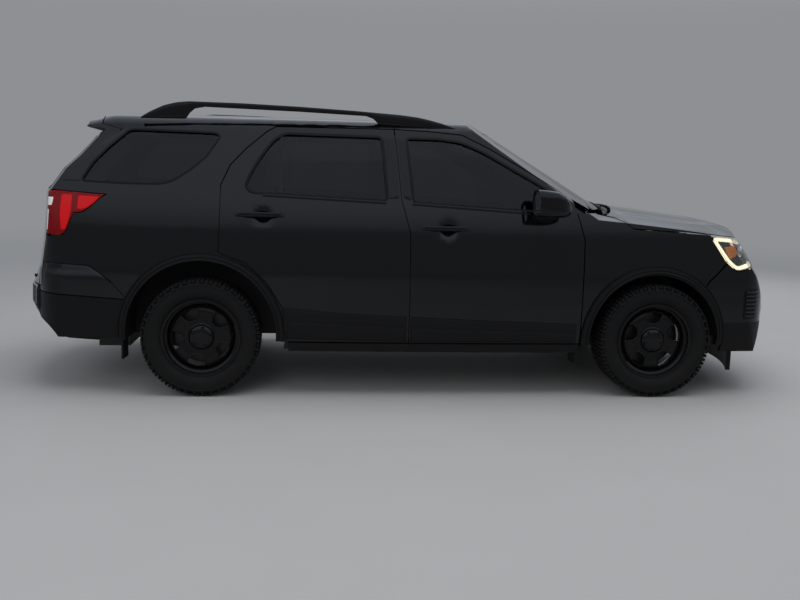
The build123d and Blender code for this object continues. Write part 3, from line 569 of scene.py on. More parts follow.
# Finishes: colour, roughness, metallic, clear coat, relief size in mm, relief strength, share of dust
FINISHES = {
    "body_paint": ((0.0016, 0.0017, 0.0024), 0.20, 0.0, 1.0, 2.0, 0.008, 0.02),
    "underbody_paint": ((0.012, 0.012, 0.012), 0.55, 0.0, 0.0, 3.0, 0.10, 0.35),
    "trim_plastic": ((0.0040, 0.0040, 0.0045), 0.46, 0.0, 0.0, 1.3, 0.14, 0.030),
    "gloss_black": ((0.0018, 0.0018, 0.0024), 0.12, 0.0, 0.8, 4.0, 0.006, 0.01),
    "cast_metal": ((0.26, 0.26, 0.27), 0.48, 0.9, 0.0, 4.0, 0.25, 0.50),
    "exhaust_steel": ((0.030, 0.029, 0.028), 0.42, 1.0, 0.0, 6.0, 0.08, 0.40),
    "tank_plastic": ((0.010, 0.010, 0.010), 0.62, 0.0, 0.0, 3.0, 0.15, 0.40),
    "cabin_plastic": ((0.012, 0.012, 0.013), 0.55, 0.0, 0.0, 0.9, 0.20, 0.0),
    "headlining": ((0.20, 0.195, 0.185), 0.90, 0.0, 0.0, 1.2, 0.30, 0.0),
    "wheel_paint": ((0.0040, 0.0040, 0.0045), 0.24, 0.0, 0.45, 2.5, 0.02, 0.04),
    "seal_rubber": ((0.005, 0.005, 0.005), 0.66, 0.0, 0.0, 1.0, 0.10, 0.05),
    "tyre": ((0.0048, 0.0048, 0.0050), 0.70, 0.0, 0.0, 1.6, 0.22, 0.05),
    "bright_metal": ((0.62, 0.62, 0.63), 0.16, 1.0, 0.0, 5.0, 0.02, 0.05),
    "brake_iron": ((0.035, 0.034, 0.033), 0.42, 0.9, 0.0, 2.0, 0.15, 0.20),
    "amber_lens": ((0.70, 0.20, 0.02), 0.12, 0.0, 0.5, 3.0, 0.02, 0.0),
    "light_guide": ((0.85, 0.82, 0.76), 0.25, 0.0, 0.3, 2.0, 0.02, 0.0),
    "clear_block": ((0.62, 0.60, 0.60), 0.10, 0.0, 0.6, 5.0, 0.30, 0.0),
    "rail_paint": ((0.0045, 0.0045, 0.0050), 0.30, 0.0, 0.5, 1.6, 0.03, 0.0),
    "plate_blank": ((0.60, 0.60, 0.59), 0.42, 0.0, 0.2, 2.0, 0.03, 0.10),
    "mirror_glass": ((0.70, 0.71, 0.72), 0.03, 1.0, 0.0, 6.0, 0.004, 0.02),
    "lamp_housing": ((0.045, 0.003, 0.003), 0.30, 0.0, 0.2, 3.0, 0.05, 0.0),
    "lamp_red_inner": ((0.62, 0.010, 0.014), 0.18, 0.0, 0.6, 6.0, 0.10, 0.0),
}
# Finishes that shine: their light and its strength
GLOWING = {"light_guide": ((1.0, 0.88, 0.58), 1.15), "lamp_red_inner": ((0.80, 0.004, 0.008), 1.0)}
# Refraction of a clear coat, and share of plain reflection under a coat, without one and on a lens
COAT_REFRACTION = 1.38
COATED_LEVEL = 0.02
BARE_LEVEL = 0.16
LENS_LEVEL = 0.30
DUST_COLOUR = (0.16, 0.15, 0.135)
# Clear finishes: colour, roughness, index of refraction, transmission
CLEAR_FINISHES = {"dark_glass": ((0.080, 0.086, 0.092), 0.0, 1.32, 1.0)}
# Lamp lenses, thin enough to look through without bending light: colour, roughness, share of the lens seen
LENS_FINISHES = {
    "lamp_clear": ((0.30, 0.31, 0.32), 0.03, 0.12),
    "lamp_red": ((0.34, 0.003, 0.005), 0.10, 0.42),
}


def new_material(name):
    """Wiring and shader of a new finish."""
    material = bpy.data.materials.new(MADE + name)
    material.use_nodes = True
    return Wiring(material.node_tree), material.node_tree.nodes["Principled BSDF"]


def make_finish(name, values, groups):
    colour, roughness, metallic, coat, size, strength, dust = values
    wiring, shader = new_material(name)
    shader.inputs["Metallic"].default_value = metallic
    if name in GLOWING:
        light, light_strength = GLOWING[name]
        shader.inputs["Emission Color"].default_value = (*light, 1.0)
        shader.inputs["Emission Strength"].default_value = light_strength
    shader.inputs["Coat Weight"].default_value = coat
    shader.inputs["Coat Roughness"].default_value = 0.02
    shader.inputs["Coat IOR"].default_value = COAT_REFRACTION
    shader.inputs["Specular IOR Level"].default_value = COATED_LEVEL if coat else BARE_LEVEL
    relief = wiring.node("ShaderNodeGroup", {"node_tree": groups["grain"]}, Size=size * MILLIMETRE)
    depth = size * MILLIMETRE * 0.25
    bump = wiring.node("ShaderNodeBump", Strength=strength, Distance=depth, Height=relief.outputs["Height"])
    wiring.join(bump.outputs["Normal"], shader.inputs["Normal"])
    pale = tuple(min(c * 1.5, 1.0) for c in colour)
    tone = mixed(wiring, relief.outputs["Tone"], (*colour, 1.0), (*pale, 1.0))
    mask = wiring.node("ShaderNodeGroup", {"node_tree": groups["dust"]}, Amount=dust).outputs["Mask"]
    wiring.join(mixed(wiring, mask, tone, (*DUST_COLOUR, 1.0)), shader.inputs["Base Color"])
    rough = between(wiring, relief.outputs["Tone"], max(roughness - 0.06, 0.02), roughness + 0.06)
    wiring.join(math_node(wiring, "ADD", rough, mask, clamp=True), shader.inputs["Roughness"])


def clear_surface(wiring, shader, groups, colour, roughness, shade):
    """Colour and roughness of a clear finish, each a little uneven."""
    tone = wiring.node("ShaderNodeGroup", {"node_tree": groups["grain"]}).outputs["Tone"]
    darker = tuple(c * shade for c in colour)
    wiring.join(mixed(wiring, tone, (*colour, 1.0), (*darker, 1.0)), shader.inputs["Base Color"])
    wiring.join(between(wiring, tone, roughness, roughness + 0.03), shader.inputs["Roughness"])


def make_clear_finish(name, values, groups):
    colour, roughness, refraction, transmission = values
    wiring, shader = new_material(name)
    shader.inputs["Transmission Weight"].default_value = transmission
    shader.inputs["IOR"].default_value = refraction
    clear_surface(wiring, shader, groups, colour, roughness, 0.92)


def make_lens_finish(name, values, groups):
    colour, roughness, share = values
    wiring, shader = new_material(name)
    shader.inputs["Specular IOR Level"].default_value = LENS_LEVEL
    clear_surface(wiring, shader, groups, colour, roughness, 0.85)
    facing = wiring.node("ShaderNodeLayerWeight", Blend=0.35).outputs["Fresnel"]
    wiring.join(between(wiring, facing, share, min(share + 0.5, 1.0)), shader.inputs["Alpha"])


def make_cloth_finish(groups):
    wiring, shader = new_material("seat_fabric")
    shader.inputs["Sheen Weight"].default_value = 0.3
    threads = wiring.node("ShaderNodeGroup", {"node_tree": groups["weave"]})
    bump = wiring.node("ShaderNodeBump", Strength=0.5, Distance=0.0004, Height=threads.outputs["Height"])
    wiring.join(bump.outputs["Normal"], shader.inputs["Normal"])
    tone = mixed(wiring, threads.outputs["Tone"], (0.022, 0.022, 0.024, 1.0), (0.040, 0.040, 0.043, 1.0))
    wiring.join(tone, shader.inputs["Base Color"])
    wiring.join(between(wiring, threads.outputs["Height"], 0.82, 0.98), shader.inputs["Roughness"])


def dress(node, finish):
    """Gives a CAD node its finish."""
    materials = frame["nodes"][node].data.materials
    materials.clear()
    materials.append(made_finish(finish))


def welded(node):
    """Points and triangles of a CAD node, in metres."""
    mesh = frame["nodes"][node].data
    mesh.calc_loop_triangles()
    points = np.zeros(len(mesh.vertices) * 3)
    mesh.vertices.foreach_get("co", points)
    faces = np.zeros(len(mesh.loop_triangles) * 3, int)
    mesh.loop_triangles.foreach_get("vertices", faces)
    rounded_points = np.round(points.reshape(-1, 3), 5)
    unique, index = np.unique(rounded_points, axis=0, return_inverse=True)
    faces = index.reshape(-1)[faces].reshape(-1, 3)
    proper = (faces[:, 0] != faces[:, 1]) & (faces[:, 1] != faces[:, 2]) & (faces[:, 2] != faces[:, 0])
    return unique, faces[proper]


def split_long_edges(points, faces, longest):
    """The same surface in triangles whose edges are no longer than given."""
    while True:
        pairs = np.sort(np.vstack([faces[:, [0, 1]], faces[:, [1, 2]], faces[:, [2, 0]]]), axis=1)
        unique, index = np.unique(pairs, axis=0, return_inverse=True)
        long = np.linalg.norm(points[unique[:, 0]] - points[unique[:, 1]], axis=1) > longest
        if not long.any():
            return points, faces
        middle = np.full(len(unique), -1)
        middle[long] = len(points) + np.arange(long.sum())
        points = np.vstack([points, points[unique[long]].mean(1)])
        cuts = middle[index.reshape(3, -1)].T
        marked = (cuts >= 0).sum(1)
        parts = [faces[marked == 0]]
        for turn in range(3):
            corner, cut = np.roll(faces, -turn, axis=1), np.roll(cuts, -turn, axis=1)
            one = (marked == 1) & (cut[:, 0] >= 0)
            a, b, c, ab = *corner[one].T, cut[one, 0]
            parts += [np.stack([a, ab, c], 1), np.stack([ab, b, c], 1)]
            two = (marked == 2) & (cut[:, 2] < 0)
            a, b, c, ab, bc = *corner[two].T, cut[two, 0], cut[two, 1]
            parts += [np.stack([ab, b, bc], 1), np.stack([a, ab, bc], 1), np.stack([a, bc, c], 1)]
        a, b, c = faces[marked == 3].T
        ab, bc, ca = cuts[marked == 3].T
        parts += [np.stack(t, 1) for t in ((a, ab, ca), (ab, b, bc), (ca, bc, c), (ab, bc, ca))]
        faces = np.vstack(parts)


def cut_levels(points, faces, levels):
    """The same triangles, cut along level planes."""
    plain = bpy.data.meshes.new("cut")
    plain.from_pydata(points.tolist(), [], faces.tolist())
    mesh = bmesh.new()
    mesh.from_mesh(plain)
    bpy.data.meshes.remove(plain)
    for level in levels:
        bmesh.ops.bisect_plane(
            mesh, geom=[*mesh.verts, *mesh.edges, *mesh.faces],
            plane_co=(0, 0, level), plane_no=(0, 0, 1), dist=1e-6,
        )
    bmesh.ops.triangulate(mesh, faces=mesh.faces)
    mesh.verts.index_update()
    points = np.array([tuple(vert.co) for vert in mesh.verts])
    faces = np.array([[vert.index for vert in face.verts] for face in mesh.faces])
    mesh.free()
    return points, faces


def hood_rise(x, y):
    """Height of the hood's raised middle above its plain form."""
    edge = np.interp(x, *zip(*HOOD_CREASE))
    ends = smoothstep((x - 1225.0) / 90.0) * smoothstep((2290.0 - x) / 90.0)
    return HOOD_RISE * smoothstep((edge - np.abs(y)) / 45.0) * ends


def panel_mesh(node, longest):
    """Fine triangles of a CAD panel, with the tail's eased forms and the hood's raised middle."""
    points, faces = welded(node)
    if node in TAIL_PANELS:
        points, faces = cut_levels(points, faces, [level * MILLIMETRE for level, _ in UNDERCUT[-2:]])
    points, faces = split_long_edges(points, faces, longest / 2 if node == "hood" else longest)
    x, y, z = points.T / MILLIMETRE
    x = x - FRAME_SHIFT
    if node in TAIL_PANELS:
        moved = np.stack([tail_ease(x, z), np.zeros(len(x)), -tail_drop(x, z)], 1)
        points = points + moved * MILLIMETRE
    if node in LOW_TAIL_PANELS:
        # What stands out behind the line is pressed to a fiftieth of its depth
        behind = (low_tail_x(y, z) - x) * (np.abs(y) < LOW_END + 1.0) * (x < 0.0)
        points[:, 0] += np.maximum(behind, 0.0) * 0.98 * MILLIMETRE
    if node == "hood":
        points = points + np.stack([np.zeros(len(x)), np.zeros(len(x)), hood_rise(x, y)], 1) * MILLIMETRE
    return points, faces


# Least cosine between the directions of two faces that are shaded as one curve
ALIKE = 0.80
# Finishes of a painted panel: outside, lining and headlining
PANEL_FINISHES = ("body_paint", "cabin_plastic", "headlining")


def face_directions(points, faces):
    """Direction and area of each triangle."""
    a, b, c = (points[faces[:, k]] for k in range(3))
    cross = np.cross(b - a, c - a)
    size = np.linalg.norm(cross, axis=1)
    return cross / np.maximum(size, 1e-12)[:, None], size / 2


def eased(centres, normals, areas, reach):
    """Each face's direction averaged with its like neighbours within reach."""
    tree = kdtree.KDTree(len(centres))
    for index, centre in enumerate(centres):
        tree.insert(centre, index)
    tree.balance()
    result = np.array(normals)
    for index, centre in enumerate(centres):
        near = tree.find_range(centre, reach)
        if len(near) < 2:
            continue
        others = np.array([n[1] for n in near])
        weight = areas[others] * (1.02 - np.array([n[2] for n in near]) / reach)
        weight = weight * (normals[others] @ normals[index] > ALIKE)
        result[index] = weight @ normals[others]
    return result / np.maximum(np.linalg.norm(result, axis=1), 1e-12)[:, None]


def corner_directions(count, faces, plain, smooth, areas):
    """Normal at each face corner from the like faces round its point."""
    flat = faces.ravel()
    owner = np.repeat(np.arange(len(faces)), 3)
    order = np.argsort(flat, kind="stable")
    starts = np.searchsorted(flat[order], np.arange(count))
    sizes = np.bincount(flat, minlength=count)[flat]
    left = np.repeat(np.arange(len(flat)), sizes)
    offset = np.arange(sizes.sum()) - np.repeat(np.cumsum(sizes) - sizes, sizes)
    right = order[starts[flat[left]] + offset]
    alike = (plain[owner[left]] * plain[owner[right]]).sum(1) > ALIKE
    weight = alike * np.sqrt(areas[owner[right]])
    total = np.stack([
        np.bincount(left, weights=smooth[owner[right], k] * weight, minlength=len(flat)) for k in range(3)
    ], 1)
    return total / np.maximum(np.linalg.norm(total, axis=1), 1e-12)[:, None]


def smooth_panels(nodes, longest, reach):
    """Fine copies of painted CAD panels, shaded as one skin that runs on over the gaps."""
    meshes = [panel_mesh(node, longest) for node in nodes]
    offsets = np.cumsum([0, *[len(faces) for points, faces in meshes]])
    centres = np.vstack([points[faces].mean(1) for points, faces in meshes])
    found = [face_directions(points, faces) for points, faces in meshes]
    normals = np.vstack([n for n, a in found])
    areas = np.concatenate([a for n, a in found])
    smooth = eased(centres, normals, areas, reach)
    for number, node in enumerate(nodes):
        points, faces = meshes[number]
        part = slice(offsets[number], offsets[number + 1])
        corners = corner_directions(len(points), faces, normals[part], smooth[part], areas[part])
        mesh = bpy.data.meshes.new(node + "_skin")
        mesh.from_pydata(points.tolist(), [], faces.tolist())
        finishes = PANEL_FINISHES
        if node in PLAIN_SKINS:
            finishes = (PLAIN_SKINS[node],)
        for finish in finishes:
            mesh.materials.append(made_finish(finish))
        mesh.polygons.foreach_set("material_index", inner_finish(node, centres[part], normals[part]))
        mesh.shade_smooth()
        mesh.normals_split_custom_set(corners.tolist())
        obj = placed(node + "_skin", mesh)
        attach(obj, frame["nodes"][node]["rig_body"])
        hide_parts(node)


def inner_finish(node, centres, normals):
    """Paint outside; cabin plastic on door and side linings; cloth under the roof."""
    spine = np.clip(centres[:, 0], -1.6, 1.3)
    outward = centres - np.stack([spine, np.zeros(len(centres)), np.full(len(centres), 0.9)], 1)
    outward /= np.linalg.norm(outward, axis=1)[:, None]
    inner = (outward * normals).sum(1) < -0.25
    if node == "roof":
        return np.where(inner, 2, 0)
    if node.startswith(("door", "body_side")) or node == "liftgate":
        return np.where(inner & (centres[:, 2] > 0.36), 1, 0)
    return np.zeros(len(centres), int)


class PaintSettings(bpy.types.PropertyGroup):
    """Sizes for the painted skin."""
    panel_grid: FloatProperty(
        name="Panel grid", description="Longest edge of a painted panel's triangles",
        default=0.045, min=0.01, unit="LENGTH",
    )
    easing: FloatProperty(
        name="Easing", description="Distance over which soft creases in the paint are shaded as curves",
        default=0.035, min=0.0, unit="LENGTH",
    )


class TyreSettings(bpy.types.PropertyGroup):
    """Sizes of the tread."""
    pitches: IntProperty(name="Pitches", description="Tread blocks round the tyre", default=42, min=20)
    tread_depth: FloatProperty(
        name="Tread depth", description="Depth of the grooves", default=0.011, min=0.002, unit="LENGTH",
    )


class SeatSettings(bpy.types.PropertyGroup):
    """How the cushions are filled."""
    voxel: FloatProperty(
        name="Mesh size", description="Spacing of the cushions' points",
        default=0.010, min=0.004, unit="LENGTH",
    )
    swell: FloatProperty(
        name="Swell", description="Furthest that air pushes a point of a cushion",
        default=0.012, min=0.0, unit="LENGTH",
    )
    fill: FloatProperty(
        name="Fill", description="From 0, slack, to 1, tight", default=0.85, min=0.0, max=1.0,
    )


class StageSettings(bpy.types.PropertyGroup):
    """Floor, sky and camera."""
    floor_colour: FloatVectorProperty(
        name="Floor", description="Colour of the floor", default=(0.40, 0.40, 0.40), subtype="COLOR",
    )
    horizon_colour: FloatVectorProperty(
        name="Horizon", description="Lower colour of the backdrop that the camera and reflections see",
        default=(0.27, 0.28, 0.295), subtype="COLOR",
    )
    zenith_colour: FloatVectorProperty(
        name="Zenith", description="Upper colour of the backdrop that the camera and reflections see",
        default=(0.80, 0.88, 1.0), subtype="COLOR",
    )
    lens: FloatProperty(
        name="Lens", description="Focal length of the camera in millimetres", default=39.87,
    )


class VEHICLE_OT_finishes(bpy.types.Operator):
    """Makes every finish and gives the CAD nodes theirs"""
    bl_idname = "vehicle.finishes"
    bl_label = "Finishes"

    def execute(self, context):
        groups = {"grain": grain_group(), "dust": dust_group(), "weave": weave_group()}
        for name, values in FINISHES.items():
            make_finish(name, values, groups)
        for name, values in CLEAR_FINISHES.items():
            make_clear_finish(name, values, groups)
        for name, values in LENS_FINISHES.items():
            make_lens_finish(name, values, groups)
        make_cloth_finish(groups)
        for node in frame["nodes"]:
            dress(node, node_finish(node))
        return {"FINISHED"}


# Finishes of CAD nodes by their names and by the starts of their names; the rest is painted
NODE_FINISHES = {
    "floor_pan": "underbody_paint", "firewall": "underbody_paint", "front_structure": "underbody_paint",
    "bumper_valances": "trim_plastic", "grille": "gloss_black", "headlamps": "lamp_clear",
    "tail_lamps": "lamp_red", "fixed_glass": "dark_glass", "liftgate_glass": "dark_glass",
    "roof_rails": "trim_plastic", "arch_trim": "trim_plastic", "rocker_trim": "trim_plastic",
    "engine": "cast_metal", "driveline": "cast_metal", "exhaust": "exhaust_steel",
    "fuel_tank": "tank_plastic",
    "front_suspension": "underbody_paint", "rear_suspension": "underbody_paint",
    "front_seats": "seat_fabric", "rear_seats": "seat_fabric", "dashboard": "cabin_plastic",
    "steering_wheel": "cabin_plastic", "cowl": "trim_plastic", "door_seals": "seal_rubber",
    "knuckle_right": "cast_metal", "knuckle_left": "cast_metal",
}
NODE_STARTS = {"glass": "dark_glass", "tyre": "tyre", "wheel": "wheel_paint", "mirror": "gloss_black"}


def node_finish(node):
    """Finish of a CAD node by its name or by its name's start."""
    return NODE_FINISHES.get(node) or NODE_STARTS.get(node.split("_")[0], "body_paint")


class VEHICLE_OT_panels(bpy.types.Operator):
    """Painted panels as one smooth skin"""
    bl_idname = "vehicle.panels"
    bl_label = "Painted panels"

    def execute(self, context):
        paint = context.scene.vehicle_paint
        smooth_panels(PAINTED, paint.panel_grid, paint.easing)
        return {"FINISHED"}


WHEELS = {
    "front_right": (FRONT_AXLE, -WHEEL_Y), "front_left": (FRONT_AXLE, WHEEL_Y),
    "rear_right": (REAR_AXLE, -WHEEL_Y), "rear_left": (REAR_AXLE, WHEEL_Y),
}
# Way that one window of each wheel's disc points, in degrees from ahead
WHEEL_TURNS = {"front_right": 90, "front_left": 90, "rear_right": 43, "rear_left": 60}


def tread_radius(across):
    """Radius of the tread's outer surface at a distance from its middle."""
    share = abs(across) / (TYRE_WIDTH / 2)
    return TYRE_RADIUS - 5.0 * share ** 2 - 34.0 * max(share - 0.84, 0.0) ** 1.4


# Tread blocks in one pitch: corners as (share of the pitch, distance across in mm)
TREAD_BLOCKS = (
    ((0.06, 4), (0.44, 10), (0.52, 34), (0.30, 40), (0.12, 26)),
    ((0.56, 6), (0.94, 3), (1.02, 24), (0.84, 40), (0.60, 36)),
    ((0.10, 48), (0.40, 44), (0.48, 62), (0.42, 78), (0.12, 74)),
    ((0.56, 46), (0.88, 50), (0.92, 76), (0.62, 80), (0.54, 62)),
    ((0.04, 84), (0.46, 88), (0.46, 117), (0.08, 117)),
    ((0.56, 88), (0.94, 84), (0.92, 120), (0.58, 120)),
)


def tread_block(shape, corners, turn, depth, place, out):
    """One block of rubber with cut edges, bent round the tyre."""
    x, y, z = place
    middle = (sum(c[0] for c in corners) / len(corners), sum(c[1] for c in corners) / len(corners))
    rows = []
    for inset, drop in ((0.0, depth), (0.0, 1.6), (0.07, 0.0)):
        row = []
        for along, across in corners:
            angle = turn(along + (middle[0] - along) * inset)
            across = across + (middle[1] - across) * inset
            radius = tread_radius(across) - drop
            row.append((x + radius * math.cos(angle), y + out * across, z + radius * math.sin(angle)))
        rows.append(row)
    shape.grid(rows, "tyre", ring=True)
    shape.add(rows[-1], [tuple(range(len(corners)))], "tyre")


def tyre_shape(settings, place):
    """All-terrain tyre: carcass, ribs on the wall and staggered blocks."""
    shape = Shape()
    x, y = place
    centre = (x, y, TYRE_RADIUS)
    depth = settings.tread_depth / MILLIMETRE
    bead = RIM_RADIUS + 0.3
    half = TYRE_WIDTH / 2
    wall = [
        (half - 31, bead), (half - 29, bead + 10), (half - 12, bead + 22), (half - 3, bead + 40),
        (half - 0.5, bead + 60), (half - 2, bead + 78), (half - 5, bead + 92), (half - 3.5, bead + 95),
        (half - 5, bead + 99), (half - 12, TYRE_RADIUS - 22),
    ]
    crown = [(w, tread_radius(w) - depth) for w in (100, 80, 50, 20, 0)]
    outer = [*wall, *crown]
    profile = [*outer, *[(-a, r) for a, r in reversed(outer[:-1])]]
    inner = [(-half + 48, bead), (-half + 18, bead + 60), (-half + 34, TYRE_RADIUS - 24)]
    profile = [*profile, *inner, *[(-a, r) for a, r in reversed(inner)]]
    shape.lathe(centre, profile, "tyre", steps=96, out=1)
    step = 2 * math.pi / settings.pitches
    for pitch in range(settings.pitches):
        for side in (-1, 1):
            lag = 0.5 * step if side > 0 else 0.0
            for corners in TREAD_BLOCKS:
                tread_block(
                    shape, corners, lambda share: side * (pitch + share) * step + lag, depth, centre, side,
                )
            wall_rib(shape, centre, side * (pitch + 0.25) * step + lag, step * 0.17, side)
    return shape


def wall_rib(shape, centre, angle, width, side):
    """Raised bar on the shoulder below each outer block."""
    x, y, z = centre
    half = TYRE_WIDTH / 2
    rows = []
    for sunk, inset in ((44, 3), (40, 0), (20, 4), (12, 12)):
        radius = TYRE_RADIUS - sunk
        row = []
        for share, drop in ((-1.0, 6), (-0.8, 0), (0.8, 0), (1.0, 6)):
            a = angle + width * share
            out = y + side * (half - inset - drop)
            row.append((x + radius * math.cos(a), out, z + radius * math.sin(a)))
        rows.append(row)
    shape.grid(rows, "tyre")


class VEHICLE_OT_tyres(bpy.types.Operator):
    """Four tyres with staggered tread blocks"""
    bl_idname = "vehicle.tyres"
    bl_label = "Tyres"

    def execute(self, context):
        settings = context.scene.vehicle_tyres
        for name, place in WHEELS.items():
            shape = tyre_shape(settings, place)
            shape.piece("tread_" + name, "wheel_" + name, "tyre", replaced=["tyre_" + name])
        return {"FINISHED"}


def window_outline(angle, low, high, spread):
    """Rounded window of the wheel's disc, about a radial line."""
    corners = []
    for radius, share in ((low, -0.72), (high, -1.0), (high + 6, 0.0), (high, 1.0), (low, 0.72)):
        turn = angle + spread * share
        corners.append((radius * math.cos(turn), radius * math.sin(turn)))
    return rounded(corners, 20, 4)


# Section of the wheel's disc: (radius, distance outwards of the wheel's middle)
DISC_PROFILE = (
    (40, 74), (62, 72), (74, 60), (96, 52), (118, 58), (150, 63), (176, 58), (190, 50), (205, 24),
    (222, 20),
)
WHEEL_WINDOWS = 5
NUT_CIRCLE = 57.15


def wheel_shape(place, out, turn):
    """Steel wheel: rim, disc with five windows, cap, nuts and brake, turned by some degrees."""
    shape = Shape()
    x, y = place
    centre = (x, y, TYRE_RADIUS)
    half = RIM_WIDTH / 2
    r = RIM_RADIUS
    barrel = [
        (half, r + 9), (half + 1, r + 12), (half - 3, r + 12), (half - 5, r + 2), (half - 24, r - 2),
        (half - 34, r - 16), (20, r - 24), (-half + 40, r - 16), (-half + 26, r - 2), (-half + 5, r + 2),
        (-half + 3, r + 12), (-half, r + 9), (-half + 2, r - 5), (-half + 30, r - 8), (-half + 44, r - 20),
        (20, r - 29), (half - 36, r - 21), (half - 26, r - 8), (half - 2, r - 5),
    ]
    shape.lathe(centre, barrel, "wheel_paint", steps=96, out=out)
    circle = [(math.cos(a), math.sin(a)) for a in full_turn(72)]
    outline = [(u * 203, v * 203) for u, v in circle]
    turns = [turn + 360 / WHEEL_WINDOWS * k for k in range(WHEEL_WINDOWS)]
    holes = [window_outline(math.radians(t), 112, 182, math.radians(21)) for t in turns]
    holes.append([(u * 42, v * 42) for u, v in circle[::2]])

    def lift(u, v, height):
        radius = math.hypot(u, v)
        along = np.interp(radius, *zip(*DISC_PROFILE))
        return x + u, y + out * (along + height), TYRE_RADIUS + v

    shape.sheet(outline, lift, "wheel_paint", holes=holes, spacing=14, rim=2.5, back=-9, close=True)
    for hole in holes[:WHEEL_WINDOWS]:
        ring = [lift(u, v, 0.5) for u, v in divided(hole, 9)]
        shape.tube([*ring, ring[0]], 3.2, "gloss_black", steps=8, caps=False)
    for cap in ([(86, 30), (84, 52), (79, 66), (72, 74), (66, 77), (60, 77)], [(86, 0.1), (86, 30)]):
        shape.lathe(centre, cap, "gloss_black", steps=48, out=out, loop=False)
    nut_profile = [(70, 12), (84, 11), (90, 7), (90, 0.1)]
    for t in turns:
        a = math.radians(t + 180 / WHEEL_WINDOWS)
        nut = (x + NUT_CIRCLE * math.cos(a), y, TYRE_RADIUS + NUT_CIRCLE * math.sin(a))
        shape.lathe(nut, nut_profile, "gloss_black", steps=6, out=out, loop=False)
    stem = math.radians(turn - 36)
    base = Vector((x + 196 * math.cos(stem), y + out * 44, TYRE_RADIUS + 196 * math.sin(stem)))
    stem_path = [base, base + Vector((0, out * 14, 0)), base + Vector((-4, out * 30, -6))]
    shape.tube(stem_path, 4, "seal_rubber", steps=8)
    rotor = [
        (20, 40), (20, 70), (-18, 74), (-18, 170), (-30, 170), (-30, 166), (-38, 166), (-38, 170),
        (-50, 170), (-50, 60), (-50, 40),
    ]
    shape.lathe(centre, rotor, "brake_iron", steps=64, out=out)
    shape.lathe(centre, [(10, 24), (-105, 24), (-105, 0.1), (10, 0.1)], "brake_iron", steps=32, out=out)
    return shape


class VEHICLE_OT_wheels(bpy.types.Operator):
    """Four steel wheels with caps, nuts and brake discs"""
    bl_idname = "vehicle.wheels"
    bl_label = "Wheels"

    def execute(self, context):
        for name, place in WHEELS.items():
            shape = wheel_shape(place, -1 if place[1] < 0 else 1, WHEEL_TURNS[name])
            shape.piece("disc_" + name, "wheel_" + name, "wheel_paint", replaced=["wheel_" + name])
        return {"FINISHED"}


# Section of the arch moulding: (distance beyond the arch's edge, height above the skin)
MOULDING = (
    (2, -45), (0, -20), (0, 14), (3, 20), (9, 22), (13, 20), (15, 15), (19, 14), (23, 17), (38, 16),
    (43, 14), (46, 18), (50, 18), (53, 11), (53, -3),
)


def moulding(shape, axle, centre_z, radius, first, last):
    """Arch moulding swept round a wheel opening between two angles in degrees."""
    rows = []
    for angle in np.radians(np.linspace(first, last, 73)):
        row = []
        for beyond, height in MOULDING:
            reach = radius + beyond
            px, pz = axle + reach * math.cos(angle), centre_z + reach * math.sin(angle)
            row.append((px, side_y(px, pz) - height, pz))
        rows.append(row)
    shape.grid(rows, "trim_plastic", caps=True)


def liner(shape, axle, centre_z, radius, first, last, outer_y, inner_y):
    """Ribbed shell over the tyre."""
    rows = []
    for number, angle in enumerate(np.radians(np.linspace(first, last, 61))):
        ripple = 3.0 if number % 6 in (0, 1) else 0.0
        section = (
            (outer_y, 0), (outer_y + 30, 2), (outer_y + 34, 2 + ripple), (inner_y - 30, 2 + ripple),
            (inner_y, 2), (inner_y, 9), (outer_y, 9),
        )
        row = []
        for y, inset in section:
            reach = radius - inset
            row.append((axle + reach * math.cos(angle), y, centre_z + reach * math.sin(angle)))
        rows.append(row)
    shape.grid(rows, "trim_plastic", ring=True, caps=True)


# Mud flaps: front face, lower and upper edge
MUD_FLAPS = ((-1893.0, 215.0, 329.7), (938.0, 200.0, 282.7))


class VEHICLE_OT_arches(bpy.types.Operator):
    """Arch mouldings, front liners and mud flaps"""
    bl_idname = "vehicle.arches"
    bl_label = "Arch mouldings"

    def execute(self, context):
        shape = Shape()
        moulding(shape, FRONT_AXLE, TYRE_RADIUS, FRONT_ARCH, -4, 184)
        moulding(shape, REAR_AXLE, TYRE_RADIUS + REAR_ARCH_RISE, REAR_ARCH, -4, 184)
        liner(shape, FRONT_AXLE, TYRE_RADIUS, FRONT_ARCH, 3, 177, -940, -512)
        for front, low, high in MUD_FLAPS:
            corners = rounded([(-918, low + 8), (-762, low), (-760, high), (-920, high)], 14)
            shape.sheet(
                corners, on_upright(front - 8), "seal_rubber",
                spacing=22, rim=2.0, back=8.0, close=True,
            )
        shape.both_sides().piece("arch_mouldings", "body", "trim_plastic", replaced=["arch_trim"])
        return {"FINISHED"}


# Corners of the right half in plan: point that looks out at the skin, first and last direction in degrees
CORNERS = {"front": ((1900.0, -560.0), -115.0, 62.0), "rear": ((-2150.0, -560.0), -48.0, -232.0)}
# Rounded posts: middle of the post, radius, way it faces along the vehicle, slope of its inner limit
POSTS = ((1992.0, -637.0, 260.0, 1, 0.4725), (-2211.0, -640.0, 240.0, -1, 0.33125))


def within(x, y, level):
    """Whether a place lies inside the right half's skin at a level."""
    if y < side_y(x, level) or not tail_x(y, level) < x < nose_x(y, level):
        return False
    for post_x, post_y, radius, way, slope in POSTS:
        ahead, aside = (x - post_x) * way, post_y - y
        if ahead > 0 and aside > slope * ahead and math.hypot(ahead, aside) > radius:
            return False
    return True


